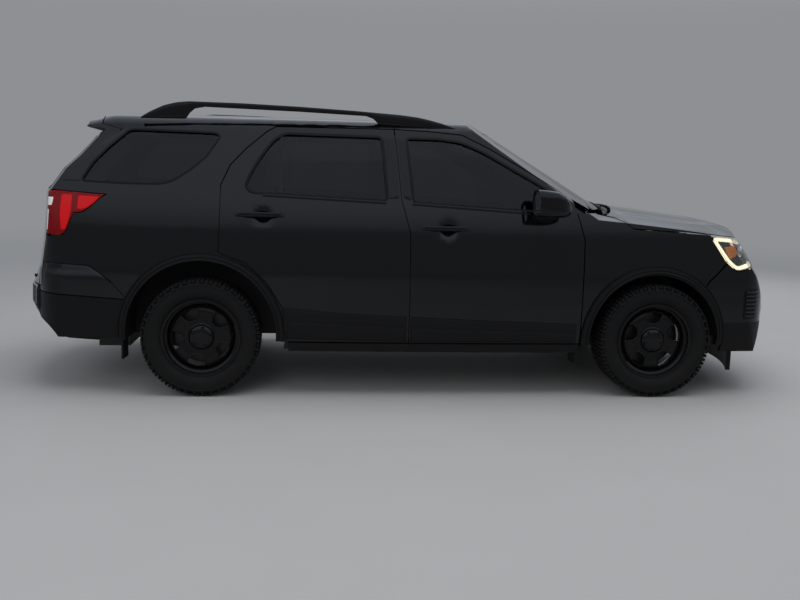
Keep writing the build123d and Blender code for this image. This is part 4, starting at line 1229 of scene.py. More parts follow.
@functools.lru_cache(maxsize=None)
def plan_line(corner, level):
    """Skin round a corner in plan at a level: x and y of points from the side to the middle."""
    (x, y), first, last = CORNERS[corner]
    rows = []
    for angle in np.radians(np.linspace(first, last, 61)):
        near, beyond = 0.0, 900.0
        for _ in range(18):
            middle = (near + beyond) / 2
            if within(x + middle * math.cos(angle), y + middle * math.sin(angle), level):
                near = middle
            else:
                beyond = middle
        rows.append((x + near * math.cos(angle), y + near * math.sin(angle)))
    rows = np.array(rows)
    along = np.concatenate([[0.0], np.cumsum(np.linalg.norm(np.diff(rows, axis=0), axis=1))])
    return along, rows


def corner_along(corner, level, x=None, y=None):
    """Distance along the skin round a corner at which it passes an x or a y."""
    along, rows = plan_line(corner, level)
    if y is not None:
        return float(np.interp(y, rows[:, 1], along))
    return float(np.interp(abs(x), np.abs(rows[:, 0]), along))


def corner_point(corner, along, level, height=0.0):
    """Place on the skin round a corner, lifted by height."""
    low = math.floor(level / 10.0) * 10.0
    result = np.zeros(3)
    for step, share in ((low, 1 - (level - low) / 10.0), (low + 10.0, (level - low) / 10.0)):
        length, rows = plan_line(corner, step)
        here = np.array([np.interp(along, length, rows[:, k]) for k in (0, 1)])
        ahead = np.array([np.interp(along + 12, length, rows[:, k]) for k in (0, 1)])
        before = np.array([np.interp(along - 12, length, rows[:, k]) for k in (0, 1)])
        run = ahead - before
        out = np.array([run[1], -run[0]]) / max(np.linalg.norm(run), 1e-9)
        out = out if out @ (here - np.array(CORNERS[corner][0])) > 0 else -out
        result[:2] += share * (here + out * height)
        result[2] += share * level
    return tuple(result)


def round_corner(corner, outline):
    """XZ outline seen from the side, turned into distance along the skin and height."""
    return [(corner_along(corner, z, x=x), z) for x, z in outline]


def on_side(proud):
    """Lift for sheets that lie on the right side, proud of the skin."""
    return lambda u, v, height: (u, side_y(u, v) - proud - height, v)


def on_corner(corner, proud):
    """Lift for sheets that lie round a corner: u along the skin, v up."""
    return lambda u, v, height: corner_point(corner, u, v, proud + height)


def on_upright(x):
    """Lift for upright plates that face backwards: u across, v up."""
    return lambda u, v, height: (x - height, u, v)


def on_tail(proud):
    """Lift for sheets on the liftgate: u across, v up."""
    return lambda u, v, height: (tail_x(u, v) - proud - height, u, v - tail_drop(tail_x(u, v), v))


def sideways(runs):
    """Unit directions square to plane directions."""
    return np.stack([runs[:, 1], -runs[:, 0]], 1) / np.maximum(np.linalg.norm(runs, axis=1), 1e-9)[:, None]


def shifted(loop, distance):
    """Closed outline moved outwards, or inwards below zero."""
    loop = np.array(loop, float)
    area = (loop[:, 0] * np.roll(loop[:, 1], -1) - np.roll(loop[:, 0], -1) * loop[:, 1]).sum()
    out = sideways(np.roll(loop, -1, axis=0) - np.roll(loop, 1, axis=0))
    return [tuple(p) for p in loop + out * (distance if area > 0 else -distance)]


# Windows in the right side, (x, z)
FRONT_WINDOW = (
    (-140, 1218), (-178, 1604), (30, 1603), (164, 1586), (300, 1530), (480, 1428), (651, 1334),
    (790, 1240), (770, 1168), (610, 1176),
)
REAR_WINDOW = (
    (-306, 1222), (-338, 1606), (-934, 1612), (-1000, 1572), (-1075, 1470), (-1135, 1365),
    (-1165, 1290), (-1135, 1254), (-836, 1243),
)
QUARTER_WINDOW = (
    (-1410, 1462), (-1330, 1585), (-1360, 1606), (-1880, 1616), (-2000, 1505), (-2090, 1405),
    (-2150, 1300), (-1905, 1291), (-1675, 1292), (-1605, 1312), (-1500, 1382),
)
# Gloss plates on the pillars beside the windows
FRONT_PILLAR_PLATE = ((-154, 1224), (-190, 1604), (-243, 1606), (-204, 1238))
REAR_PILLAR_PLATE = ((-230, 1236), (-264, 1606), (-326, 1608), (-294, 1230))


def window_seal(shape, corners, width):
    """Rubber frame round a window, its lip over the glass."""
    loop = rounded(corners, 26, 5)
    shape.sheet(
        shifted(loop, width), on_side(2.0), "seal_rubber",
        holes=[shifted(loop, -5)], spacing=30, rim=3.0, back=-6.0,
    )


# Section of the strip below a door window: (height above the line, distance out of the skin)
BELT_SECTION = ((-12, -2), (-11, 3), (-7, 6), (2, 7), (7, 5), (9, -1), (8, -6))


def belt_moulding(shape, first, last):
    """Gloss strip along the lower edge of a door window."""
    rows = []
    (x0, z0), (x1, z1) = first, last
    for share in np.linspace(0, 1, 25):
        x, z = x0 + (x1 - x0) * share, z0 + (z1 - z0) * share
        rows.append([(x, side_y(x, z + up) - out, z + up) for up, out in BELT_SECTION])
    shape.grid(rows, "gloss_black", caps=True)


def handle(shape, first, last, level, key):
    """Strap handle that bridges its bowl, with a lock cap at its rear end."""
    rows = []
    for share in np.linspace(0, 1, 33):
        x = first + (last - first) * share
        arch = 1 - abs(2 * share - 1) ** 5
        tall, thick = 10 + 5 * arch, 5 + 2.5 * arch
        middle = side_y(x, level) - 24 * arch
        ring = (squarish(angle, 0.7) for angle in full_turn(16))
        rows.append([(x, middle - thick * out, level + tall * up) for out, up in ring])
    shape.grid(rows, "gloss_black", ring=True, caps=True)
    for x in (first + 4, last - 4):
        base = [(x + 24 * a, level + 17 * b) for a, b in ((-1, -1), (1, -1), (1, 1), (-1, 1))]
        shape.sheet(rounded(base, 12), on_side(3.0), "gloss_black", spacing=10, rim=3.0, back=-6.0)
    if key:
        place = (first + 2, side_y(first, level) - 3, level)
        lock = [(0, 11), (3, 11), (4.5, 9), (4.5, 5), (3, 4), (3, 0.1)]
        shape.lathe(place, lock, "gloss_black", steps=24, loop=False)


def arc_points(centre, radius, first, last, count):
    return [
        (centre[0] + radius * math.cos(a), centre[1] + radius * math.sin(a))
        for a in np.radians(np.linspace(first, last, count))
    ]


def door_cladding(shape, outline, step):
    """Matt moulding low on a door, with a second step below."""
    shape.sheet(outline, on_side(7.0), "trim_plastic", spacing=34, rim=6.0, back=-4.0)
    shape.sheet(step, on_side(12.0), "trim_plastic", spacing=34, rim=5.0, back=-8.0)


REAR_ARCH_CENTRE = (REAR_AXLE, TYRE_RADIUS + REAR_ARCH_RISE)
REAR_CLADDING = [(-172, 352), (-172, 511), (-560, 526), *arc_points(REAR_ARCH_CENTRE, 522, 20, -2, 9)]
REAR_CLADDING_STEP = [(-180, 356), (-180, 440), (-815, 470), *arc_points(REAR_ARCH_CENTRE, 530, 9, -2, 6)]
FRONT_CLADDING = [(-146, 352), (-146, 509), (411, 487), (912, 471), (912, 352)]
FRONT_CLADDING_STEP = [(-140, 356), (-140, 439), (541, 425), (906, 414), (906, 356)]


def mirror_shape():
    """Rounded mirror head on its arm, with the glass in its rear face."""
    shape = Shape()
    rows = []
    # Stations from the glass forwards: x, lower z, upper z, inner y, outer y
    stations = (
        (588, 1158, 1302, -992, -1132), (585, 1152, 1308, -986, -1138), (590, 1149, 1311, -983, -1141),
        (640, 1146, 1309, -981, -1144), (700, 1144, 1303, -983, -1134), (748, 1145, 1284, -987, -1114),
        (780, 1151, 1252, -993, -1088), (798, 1162, 1222, -1003, -1062), (803, 1176, 1204, -1016, -1044),
    )
    for x, low, high, inner, outer in stations:
        middle_y, middle_z = (inner + outer) / 2, (low + high) / 2
        row = []
        for angle in full_turn(32):
            across, up = squarish(angle, 0.55)
            across, up = (inner - outer) / 2 * across, (high - low) / 2 * up
            row.append((x + 6 * (1 - math.cos(angle)), middle_y + across, middle_z + up))
        rows.append(row)
    shape.grid(rows, "gloss_black", ring=True)
    shape.add(rows[-1], [tuple(range(32))], "gloss_black")
    recess = [(x + 6, y, z) for x, y, z in rows[0]]
    shape.grid([rows[0], recess], "trim_plastic", ring=True)
    shape.add(recess, [tuple(range(32))], "mirror_glass")
    arm = []
    for share in np.linspace(0, 1, 9):
        y = -925 - 110 * share
        low, high = 1104 + 26 * share, 1160 + 10 * share
        back, front = 604 - 8 * share, 730 + 14 * share
        ring = (squarish(angle, 0.6) for angle in full_turn(24))
        arm.append([
            ((back + front) / 2 + (front - back) / 2 * ahead, y, (low + high) / 2 + (high - low) / 2 * up)
            for ahead, up in ring
        ])
    shape.grid(arm, "trim_plastic", ring=True, caps=True)
    return shape


class VEHICLE_OT_doors(bpy.types.Operator):
    """Window seals, handles, mouldings and mirrors of the doors"""
    bl_idname = "vehicle.doors"
    bl_label = "Door fittings"

    def execute(self, context):
        front, rear = Shape(), Shape()
        window_seal(front, FRONT_WINDOW, 12)
        window_seal(rear, REAR_WINDOW, 12)
        belt_moulding(front, (-150, 1206), (600, 1164))
        belt_moulding(rear, (-310, 1210), (-1060, 1240))
        for shape, plate in ((front, FRONT_PILLAR_PLATE), (rear, REAR_PILLAR_PLATE)):
            shape.sheet(rounded(plate, 8), on_side(2.5), "gloss_black", spacing=24, rim=2.0, back=-2.0)
        rear.sheet(
            rounded([(-938, 1250), (-962, 1250), (-966, 1608), (-942, 1608)], 4), on_side(-3.0),
            "gloss_black", spacing=14, rim=2.0, back=-9.0,
        )
        handle(front, -67, 180, 1060, True)
        handle(rear, -1208, -947, 1121, False)
        door_cladding(front, FRONT_CLADDING, FRONT_CLADDING_STEP)
        door_cladding(rear, REAR_CLADDING, REAR_CLADDING_STEP)
        for side, turn in (("right", lambda shape: shape), ("left", lambda shape: shape.other_side())):
            turn(front).piece("fittings_front_" + side, "door_front_" + side, "trim_plastic")
            turn(rear).piece("fittings_rear_" + side, "door_rear_" + side, "trim_plastic")
            turn(mirror_shape()).piece(
                "mirror_head_" + side, "door_front_" + side, "gloss_black", replaced=["mirror_" + side],
            )
        return {"FINISHED"}


# Section of the headlamp's light guide: (distance across it, height above the lens)
GUIDE_SECTION = ((-12, -20), (-11, -10), (-7, -6), (7, -6), (11, -10), (12, -20))


def path_turns(path):
    """Direction across an open line at each of its points."""
    return sideways(np.gradient(np.array(path, float), axis=0))


def headlamp_shape():
    """Clear lens round the corner over a dark housing with light guide, amber block and projector."""
    shape = Shape()
    edge = [(1801, 1016), (1799, 1032), (1914, 1024), (2033, 1001), (2100, 994), (2160, 987)]
    low = [(2160, 856), (2085, 847), (1974, 818), (1905, 874)]
    end = corner_along("front", 930, y=-446)
    outline = [*round_corner("front", edge), (end, 978), (end, 880), *round_corner("front", low)]
    lift = on_corner("front", 0.0)
    shape.sheet(outline, lift, "lamp_clear", spacing=16, rim=4.0, back=-3.0, close=True)
    shape.sheet(shifted(divided(outline, 25), -4), on_corner("front", -46.0), "gloss_black", spacing=24)
    wall = [[lift(u, v, height) for u, v in divided(outline, 18)] for height in (-4, -48)]
    shape.grid(wall, "gloss_black", ring=True)
    guide = [
        (2150, 979), (2100, 984), (2033, 991), (1914, 1013), (1812, 1020), (1818, 1004), (1914, 880),
        (1974, 832), (2085, 856), (2110, 860),
    ]
    path = rounded_path(round_corner("front", guide), 22)
    rows = []
    for (u, v), turn in zip(path, path_turns(path)):
        rows.append([lift(u + turn[0] * wide, v + turn[1] * wide, deep) for wide, deep in GUIDE_SECTION])
    shape.grid(rows, "light_guide", ring=True, caps=True)
    amber = round_corner("front", [(1896, 968), (1984, 978), (1972, 912), (1936, 892)])
    shape.sheet(rounded(amber, 8), on_corner("front", -24.0), "amber_lens", spacing=12, rim=4.0, back=-20.0)
    for x, level, radius in ((2046, 930, 34), (2118, 930, 26)):
        along = corner_along("front", level, x=x)
        place = Vector(corner_point("front", along, level, -40))
        out = (Vector(corner_point("front", along, level, 0)) - place).normalized()
        out = (out + Vector((0.9, 0, 0))).normalized()
        bezel = [(-6, radius + 8), (16, radius + 7), (18, radius + 3), (8, radius)]
        shape.turned(place, out, bezel, "bright_metal")
        dome = [(8 + 12 * math.cos(t), radius * math.sin(t)) for t in np.linspace(math.pi / 2, 0.02, 8)]
        shape.turned(place, out, dome, "mirror_glass")
    return shape


def rounded_path(points, radius):
    """Open line with its inner corners eased."""
    result = [points[0]]
    for before, corner, after in zip(points, points[1:], points[2:]):
        corner = Vector(corner)
        into, away = Vector(before) - corner, Vector(after) - corner
        start = corner + into.normalized() * min(radius, into.length * 0.45)
        end = corner + away.normalized() * min(radius, away.length * 0.45)
        for t in (0.0, 0.5, 1.0):
            result.append(tuple(start * (1 - t) ** 2 + corner * 2 * t * (1 - t) + end * t * t))
    return [*result, points[-1]]


def tail_lamp_shape():
    """Red lens round the corner with clear blocks at its edge and inner lenses."""
    shape = Shape()
    # Distance along the skin at which the liftgate's edge passes each height
    gate = {
        z: corner_along("rear", z, y=float(np.interp(z, (1000, 1224), (-811, -783))))
        for z in range(970, 1250, 10)
    }
    front = [
        (-2300, 1236), (-2150, 1226), (-2010, 1216), (-2052, 1184), (-2098, 1140), (-2140, 1113),
        (-2190, 1106), (-2212, 1060), (-2242, 990), (-2268, 968),
    ]
    edge = [(gate[z] - 3, z) for z in (980, 1040, 1100, 1160, 1220)]
    outline = [*edge, (gate[1230] - 3, 1234), *round_corner("rear", front)]
    lift = on_corner("rear", 1.5)
    shape.sheet(outline, lift, "lamp_red", spacing=16, rim=5.0, back=-4.0, close=True)
    fine = divided(outline, 18)
    wall = [[lift(u, v, height) for u, v in fine] for height in (-5, -34)]
    shape.grid(wall, "lamp_housing", ring=True)
    shape.sheet(shifted(fine, -2), on_corner("rear", -32.0), "lamp_housing", spacing=20)
    bar = [(-2272, 1212), (-2212, 1212), (-2218, 1104), (-2246, 1002), (-2272, 1000), (-2280, 1100)]
    lobe = [(-2172, 1208), (-2046, 1202), (-2078, 1164), (-2128, 1130), (-2176, 1124)]
    for outline in (bar, lobe):
        inner = rounded(round_corner("rear", outline), 12)
        shape.sheet(inner, on_corner("rear", -14.0), "lamp_red_inner", spacing=14, rim=5.0, back=-24.0)
    top, bottom = gate[1120], gate[1000]
    strip = [(top - 10, 1122), (top - 34, 1122), (bottom - 30, 1000), (bottom - 10, 1000)]
    shape.sheet(rounded(strip, 6), on_corner("rear", 3.5), "clear_block", spacing=12, rim=2.0, back=-3.0)
    top, bottom = gate[1200], gate[1140]
    block = [(top - 10, 1196), (top - 50, 1196), (bottom - 50, 1146), (bottom - 10, 1146)]
    shape.sheet(rounded(block, 8), on_corner("rear", 3.5), "clear_block", spacing=12, rim=3.0, back=-3.0)
    return shape


class VEHICLE_OT_lamps(bpy.types.Operator):
    """Headlamps and tail lamps with their insides"""
    bl_idname = "vehicle.lamps"
    bl_label = "Lamps"

    def execute(self, context):
        for shape, name, slot, replaced in (
            (headlamp_shape(), "headlamp_units", "lamp_clear", "headlamps"),
            (tail_lamp_shape(), "tail_lamp_units", "lamp_red", "tail_lamps"),
        ):
            shape.both_sides().piece(name, "body", slot, replaced=[replaced])
        return {"FINISHED"}


def grille_backing(shape):
    """Dark panel with upright ribs behind the grille's bars."""
    rows = []
    for z in np.linspace(545, 930, 12):
        rows.append([(nose_x(y, z) - 42, y, z) for y in np.linspace(-425, 425, 31)])
    shape.grid(rows, "trim_plastic")
    for y in np.arange(-390, 391, 65):
        rib = [(nose_x(y, z) - 30, y, z) for z in (548, 640, 740, 840, 928)]
        shape.tube(rib, 5, "trim_plastic", steps=6)


def corner_slats(shape):
    """Slatted plate low on the front bumper's corner."""
    outline = round_corner("front", [(2034, 500), (2150, 504), (2152, 700), (2060, 716), (2030, 690)])
    lift = on_corner("front", 1.0)
    shape.sheet(rounded(outline, 16), lift, "trim_plastic", spacing=18, rim=3.0, back=-5.0)
    for z in np.arange(524, 700, 26):
        first, last = corner_along("front", z, x=2044), corner_along("front", z, x=2142)
        path = [corner_point("front", along, z, 5.0) for along in np.linspace(first, last, 9)]
        shape.tube(path, 6.5, "gloss_black", steps=8)


def valance_details(shape):
    """Slots in the lower front valance and round covers in the rear bumper."""
    for z in (372, 398, 424):
        slot = [(nose_x(y, z) + 1, y, z) for y in np.linspace(-420, 420, 17)]
        shape.tube(slot, 6, "gloss_black", steps=8)
    along = corner_along("rear", 730, x=-2042)
    place = Vector(corner_point("rear", along, 730, 1.0))
    out = (place - Vector(corner_point("rear", along, 730, -10))).normalized()
    shape.turned(place, out, [(-3, 17), (1.5, 17), (3, 14), (2.0, 12), (2.4, 0.1)], "gloss_black")
    level = 690
    for y in (-560, -240, 240):
        place = Vector((tail_x(y, level) - 1, y, level))
        shape.turned(place, Vector((-1, 0, 0)), [(-3, 11), (2, 11), (3, 8), (3, 0.1)], "gloss_black")


def rear_corner_details(shape):
    """Sloped ledge at the top of the rear bumper's side, and the joint below the rear pillar."""
    edge = [
        (-2362, 799), (-2200, 793), (-2099, 786), (-2030, 744), (-1966, 694), (-1975, 684),
        (-2194, 697), (-2364, 713),
    ]

    def lift(along, level, height):
        return corner_point("rear", along, level, 1.0 + 17.0 * smoothstep((792.0 - level) / 82.0) + height)

    outline = rounded(round_corner("rear", edge), 10)
    shape.sheet(outline, lift, "body_paint", spacing=16, rim=2.0, back=-24.0)
    first, last = (corner_along("rear", 1298, x=x) for x in (-2156, -2262))
    joint = [corner_point("rear", along, 1298, 0.6) for along in np.linspace(first, last, 9)]
    shape.tube(joint, 2.6, "seal_rubber")


def glass_point(across, up, height=0.0):
    """Place on the windshield, up its slope from the foot."""
    foot, head = Vector((1290, 0, 1162)), Vector((379, 0, 1698))
    along = (head - foot).normalized()
    out = Vector((-along.z, 0, along.x))
    out = out if out.z > 0 else -out
    crown = 2700.0
    sunk = crown - math.sqrt(crown ** 2 - across ** 2)
    return foot + along * up - out * (sunk - height) + Vector((0, across, 0))


def wiper(shape, pivot, tip, heel_up, blade):
    """Arm from a pivot to a blade that lies on the windshield."""
    base = glass_point(pivot, 34, 12)
    end = glass_point(tip, heel_up, 16)
    middle = (base + end) / 2 + Vector((4, 0, 6))
    cap = [(0, 17), (16, 16), (24, 11), (26, 0.1)]
    shape.turned(base - Vector((0, 0, 18)), Vector((0.5, 0, 0.86)), cap, "trim_plastic")
    shape.tube([base, middle, end], 6.5, "trim_plastic", steps=8)
    for height, radius, finish in ((8.0, 6.0, "trim_plastic"), (2.5, 2.2, "seal_rubber")):
        points = [glass_point(a, heel_up + (a - tip) * 0.02, height) for a in np.linspace(*blade, 21)]
        shape.tube(points, radius, finish, steps=8)


def gate_shape():
    """Liftgate's plate, handle bar, stop lamp, window seal and wiper."""
    shape = Shape()
    plate = rounded([(-152, 816), (152, 816), (152, 968), (-152, 968)], 10)
    shape.sheet(plate, on_upright(-2519), "plate_blank", spacing=30, rim=1.5, back=3.0, close=True)
    border = rounded([(-160, 809), (160, 809), (160, 975), (-160, 975)], 12)
    shape.sheet(border, on_upright(-2518), "trim_plastic", holes=[plate], spacing=30, rim=1.5, back=3.0)
    bar = rounded([(-250, 992), (250, 992), (238, 1030), (-238, 1030)], 14)
    shape.sheet(bar, on_tail(9.0), "gloss_black", spacing=22, rim=7.0, back=-12.0)
    stop = rounded([(-190, 1668), (190, 1668), (190, 1684), (-190, 1684)], 5)
    shape.sheet(stop, on_tail(3.0), "lamp_red", spacing=14, rim=2.5, back=-4.0)
    seal = rounded([(-690, 1250), (690, 1250), (600, 1560), (0, 1600), (-600, 1560)], 34)
    shape.sheet(
        shifted(seal, 12), on_tail(1.5), "seal_rubber",
        holes=[shifted(seal, -6)], spacing=40, rim=2.5, back=-8.0,
    )
    pivot = Vector((tail_x(0, 1266) - 4, 0, 1266))
    shape.turned(pivot, Vector((-1, 0, 0.2)), [(0, 20), (14, 19), (24, 12), (26, 0.1)], "trim_plastic")
    arm = [(tail_x(y, z) - 22, y, z) for y, z in ((0, 1270), (120, 1286), (210, 1300))]
    shape.tube(arm, 6, "trim_plastic", steps=8)
    blade = [(tail_x(y, 1301) - 12, y, 1301) for y in np.linspace(30, 390, 13)]
    shape.tube(blade, 5.5, "trim_plastic", steps=8)
    return shape


class VEHICLE_OT_trim(bpy.types.Operator):
    """Grille backing, bumper slats, wipers, window seals, liftgate fittings and exhaust tip"""
    bl_idname = "vehicle.trim"
    bl_label = "Trim and wipers"

    def execute(self, context):
        shape = Shape()
        grille_backing(shape)
        valance_details(shape)
        shape.piece("front_grille_backing", "body", "trim_plastic", recalculate=False)
        slats = Shape()
        corner_slats(slats)
        rear_corner_details(slats)
        slats.both_sides().piece("bumper_slats", "body", "trim_plastic")
        wipers = Shape()
        wiper(wipers, 560, 190, 92, (-90, 500))
        wiper(wipers, -60, -400, 92, (-640, -110))
        wipers.piece("windshield_wipers", "body", "trim_plastic")
        quarter = Shape()
        window_seal(quarter, QUARTER_WINDOW, 10)
        quarter.both_sides().piece("quarter_glass_seals", "body", "seal_rubber")
        gate_shape().piece("liftgate_fittings", "liftgate", "trim_plastic")
        tip = Shape()
        outer = [(-2140, -400, 268), (-2240, -430, 280), (-2352, -430, 288)]
        inner = [(-2352, -430, 288), (-2250, -430, 282)]
        for path, radius in ((outer, 27), (inner, 24)):
            tip.tube(path, radius, "exhaust_steel", steps=24, caps=False)
        tip.piece("exhaust_tip", "body", "exhaust_steel", recalculate=False)
        return {"FINISHED"}


# Cushions: centre, size, backward tilt in degrees, bodies each side or in the middle, seam places across
CUSHIONS = {
    "front_cushion": ((85, 430, 548), (510, 500, 150), 5.0, (-1, 1), (-0.56, 0.56)),
    "front_backrest": ((-262, 430, 840), (130, 490, 500), -16.0, (-1, 1), (-0.56, 0.56)),
    "front_headrest": ((-352, 430, 1132), (88, 260, 125), -12.0, (-1, 1), ()),
    "rear_cushion": ((-830, 0, 548), (530, 960, 140), 4.0, (1,), (-0.34, 0.34)),
    "rear_backrest": ((-1118, 0, 838), (120, 960, 480), -15.0, (1,), (-0.34, 0.34)),
    "rear_headrest": ((-1212, 325, 1090), (70, 240, 90), -12.0, (-1, 1), ()),
}


def cushion_mesh(size):
    """Crowned closed form whose sides pull in between its corners, in metres about its middle."""
    work = bmesh.new()
    bmesh.ops.create_cube(work, size=2.0)
    bmesh.ops.subdivide_edges(work, edges=work.edges[:], cuts=13, use_grid_fill=True)
    thin = min(range(3), key=lambda k: size[k])
    wide = [k for k in range(3) if k != thin]
    for vertex in work.verts:
        place = np.array(vertex.co)
        norm = (np.abs(place) ** 5).sum() ** 0.2
        place = place / max(norm, 1e-9)
        for k, other in (wide, wide[::-1]):
            place[k] *= 1 - 0.035 * math.cos(place[other] * math.pi / 2)
        crown = 1 - 0.30 * max(abs(place[wide[0]]), abs(place[wide[1]])) ** 4
        place[thin] *= crown
        vertex.co = Vector(place * np.array(size) / 2 * MILLIMETRE * 0.97)
    mesh = bpy.data.meshes.new("cushion")
    work.to_mesh(mesh)
    work.free()
    return mesh


def inflated(mesh, voxel, cap, frames):
    """Cushion's mesh after a short cloth simulation with air inside, no point moved further than cap."""
    scene = bpy.context.scene
    obj = placed("cushion", mesh)
    remesh = obj.modifiers.new("even", "REMESH")
    remesh.mode = "VOXEL"
    remesh.voxel_size = voxel
    depsgraph = bpy.context.evaluated_depsgraph_get()
    even = bpy.data.meshes.new_from_object(obj.evaluated_get(depsgraph))
    obj.modifiers.clear()
    obj.data = even
    start = np.zeros(len(even.vertices) * 3)
    even.vertices.foreach_get("co", start)
    cloth = obj.modifiers.new("air", "CLOTH")
    cloth.settings.use_pressure = True
    cloth.settings.uniform_pressure_force = 4.0
    cloth.settings.effector_weights.gravity = 0.0
    cloth.point_cache.frame_start, cloth.point_cache.frame_end = 1, frames
    for frame_number in range(1, frames + 1):
        scene.frame_set(frame_number)
    result = obj.evaluated_get(bpy.context.evaluated_depsgraph_get()).to_mesh()
    end = np.zeros(len(result.vertices) * 3)
    result.vertices.foreach_get("co", end)
    obj.modifiers.clear()
    scene.frame_set(1)
    move = (end - start).reshape(-1, 3)
    length = np.linalg.norm(move, axis=1)[:, None]
    start = start.reshape(-1, 3) + move * np.minimum(1.0, cap / np.maximum(length, 1e-9))
    even.vertices.foreach_set("co", start.ravel())
    bpy.data.objects.remove(obj)
    return even


def sew(mesh, size, seams):
    """Press sewn channels and a border seam into a cushion."""
    thin = min(range(3), key=lambda k: size[k])
    across, along = 1, (2 if thin == 0 else 0)
    half = [s / 2 * MILLIMETRE for s in size]
    places = np.zeros(len(mesh.vertices) * 3)
    mesh.vertices.foreach_get("co", places)
    places = places.reshape(-1, 3)
    share_across = places[:, across] / half[across]
    share_along = places[:, along] / half[along]
    groove = np.zeros(len(places))
    for seam in seams:
        away = np.abs(share_across - seam) * half[across]
        groove = np.maximum(groove, np.exp(-(away / 0.009) ** 2) * (np.abs(share_along) < 0.86))
    if seams:
        for seam in (-0.45, 0.05, 0.55):
            away = np.abs(share_along - seam) * half[along]
            between_seams = np.abs(share_across) < abs(seams[0])
            groove = np.maximum(groove, 0.6 * np.exp(-(away / 0.008) ** 2) * between_seams)
    border = np.abs(np.abs(share_across) - 0.90) * half[across]
    groove = np.maximum(groove, 0.7 * np.exp(-(border / 0.008) ** 2))
    places[:, thin] *= 1 - 0.11 * groove
    mesh.vertices.foreach_set("co", places.ravel())


class VEHICLE_OT_seats(bpy.types.Operator):
    """Front seats and rear bench as sewn, air-filled cushions"""
    bl_idname = "vehicle.seats"
    bl_label = "Seats"

    def execute(self, context):
        settings = context.scene.vehicle_seats
        for name, (centre, size, tilt, sides, seams) in CUSHIONS.items():
            mesh = cushion_mesh(size)
            mesh = inflated(mesh, settings.voxel, settings.swell, 20)
            sew(mesh, size, seams)
            for side in sides:
                self.cushion(name, mesh.copy(), centre, tilt, side, settings)
        self.frames()
        return {"FINISHED"}

    def cushion(self, name, mesh, centre, tilt, side, settings):
        x, y, z = centre
        turn = Matrix.Rotation(math.radians(-tilt), 4, "Y")
        place = Matrix.Translation(Vector((x + FRAME_SHIFT, side * y, z)) * MILLIMETRE)
        mesh.transform(place @ turn)
        mesh.materials.clear()
        mesh.materials.append(made_finish("seat_fabric"))
        mesh.shade_smooth()
        ending = "" if y == 0 else ("_left" if side > 0 else "_right")
        obj = placed(name + ending, mesh)
        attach(obj, "body")
        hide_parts("front_seats" if name.startswith("front") else "rear_seats")

    def frames(self):
        """Seat bases, side covers and headrest posts."""
        shape = Shape()
        for y in (-430, 430):
            shape.block((75, y, 418), (380, 430, 112), "cabin_plastic", cut=18)
            for way in (-1, 1):
                shape.block((60, y + way * 262, 470), (440, 22, 90), "cabin_plastic", cut=9)
            for arm in (y - 225, y + 225):
                shape.tube([(-190, arm, 520), (-180, arm, 600), (-215, arm, 700)], 16, "cabin_plastic")
            for post in (-60, 60):
                shape.tube([(-325, y + post, 1055), (-348, y + post, 1120)], 6, "bright_metal")
        shape.block((-850, 0, 418), (440, 940, 112), "cabin_plastic", cut=18)
        for y in (-325, 325):
            for post in (-50, 50):
                shape.tube([(-1180, y + post, 1040), (-1205, y + post, 1090)], 6, "bright_metal")
        shape.piece("seat_frames", "body", "cabin_plastic")


# Steering wheel: middle of its rim, and the way it faces
STEERING_HUB = Vector((500, 370, 962))
STEERING_AXIS = Vector((-0.95, 0, 0.31)).normalized()


def dashboard_shape():
    """Dashboard swept across the cabin, with hood, screen, vents, glove box and column."""
    shape = Shape()
    section = rounded([
        (648, 765), (640, 900), (662, 930), (668, 1010), (700, 1072), (775, 1118), (900, 1116), (995, 1106),
        (995, 765),
    ], 24, 4)
    rows = []
    for y in np.linspace(-816, 816, 41):
        ease = 22 * (abs(y) / 816) ** 3
        rows.append([(x + ease * (x < 900), y, z) for x, z in section])
    shape.grid(rows, "cabin_plastic", ring=True, caps=True)
    hood = []
    for share in np.linspace(-1, 1, 17):
        high = 1148 - 26 * share ** 2
        arch = ((655, 1085), (640, high - 8), (650, high), (760, high - 4), (860, 1112), (860, 1090))
        hood.append([(x, 370 + 175 * share, z) for x, z in arch])
    shape.grid(hood, "cabin_plastic", ring=True, caps=True)
    for corners, x, finish in (
        ([(-120, 1078), (120, 1078), (120, 952), (-120, 952)], 650, "gloss_black"),
        ([(235, 1112), (505, 1112), (505, 1000), (235, 1000)], 652, "gloss_black"),
        ([(-680, 1040), (-520, 1040), (-520, 985), (-680, 985)], 652, "trim_plastic"),
        ([(610, 1040), (745, 1040), (745, 985), (610, 985)], 652, "trim_plastic"),
        ([(-720, 905), (-300, 905), (-300, 790), (-720, 790)], 638, "cabin_plastic"),
        ([(-150, 930), (150, 930), (150, 800), (-150, 800)], 632, "trim_plastic"),
    ):
        shape.sheet(rounded(corners, 12), on_upright(x), finish, spacing=30, rim=4.0, back=-24.0)
    for first, last in ((-670, -530), (620, 735)):
        for z in (996, 1008, 1020, 1032):
            shape.tube([(646, y, z) for y in np.linspace(first, last, 5)], 2.4, "gloss_black", steps=6)
    for y in (-90, 0, 90):
        shape.turned((632, y, 868), (-1, 0, 0), [(0, 24), (16, 22), (18, 18), (18, 0.1)], "gloss_black")
    column = [(0, 34), (40, 40), (130, 52), (200, 56)]
    shape.turned(STEERING_HUB - STEERING_AXIS * 24, -STEERING_AXIS, column, "cabin_plastic")
    stalk = STEERING_HUB - STEERING_AXIS * 60
    for way in (-1, 1):
        path = [stalk + Vector(step) for step in ((0, 0, 0), (0, way * 90, 10), (6, way * 165, 24))]
        shape.tube(path, 7, "trim_plastic")
    shape.block((560, 0, 560), (700, 250, 330), "cabin_plastic", cut=30)
    shape.block((-60, 0, 600), (420, 200, 130), "cabin_plastic", cut=26)
    return shape


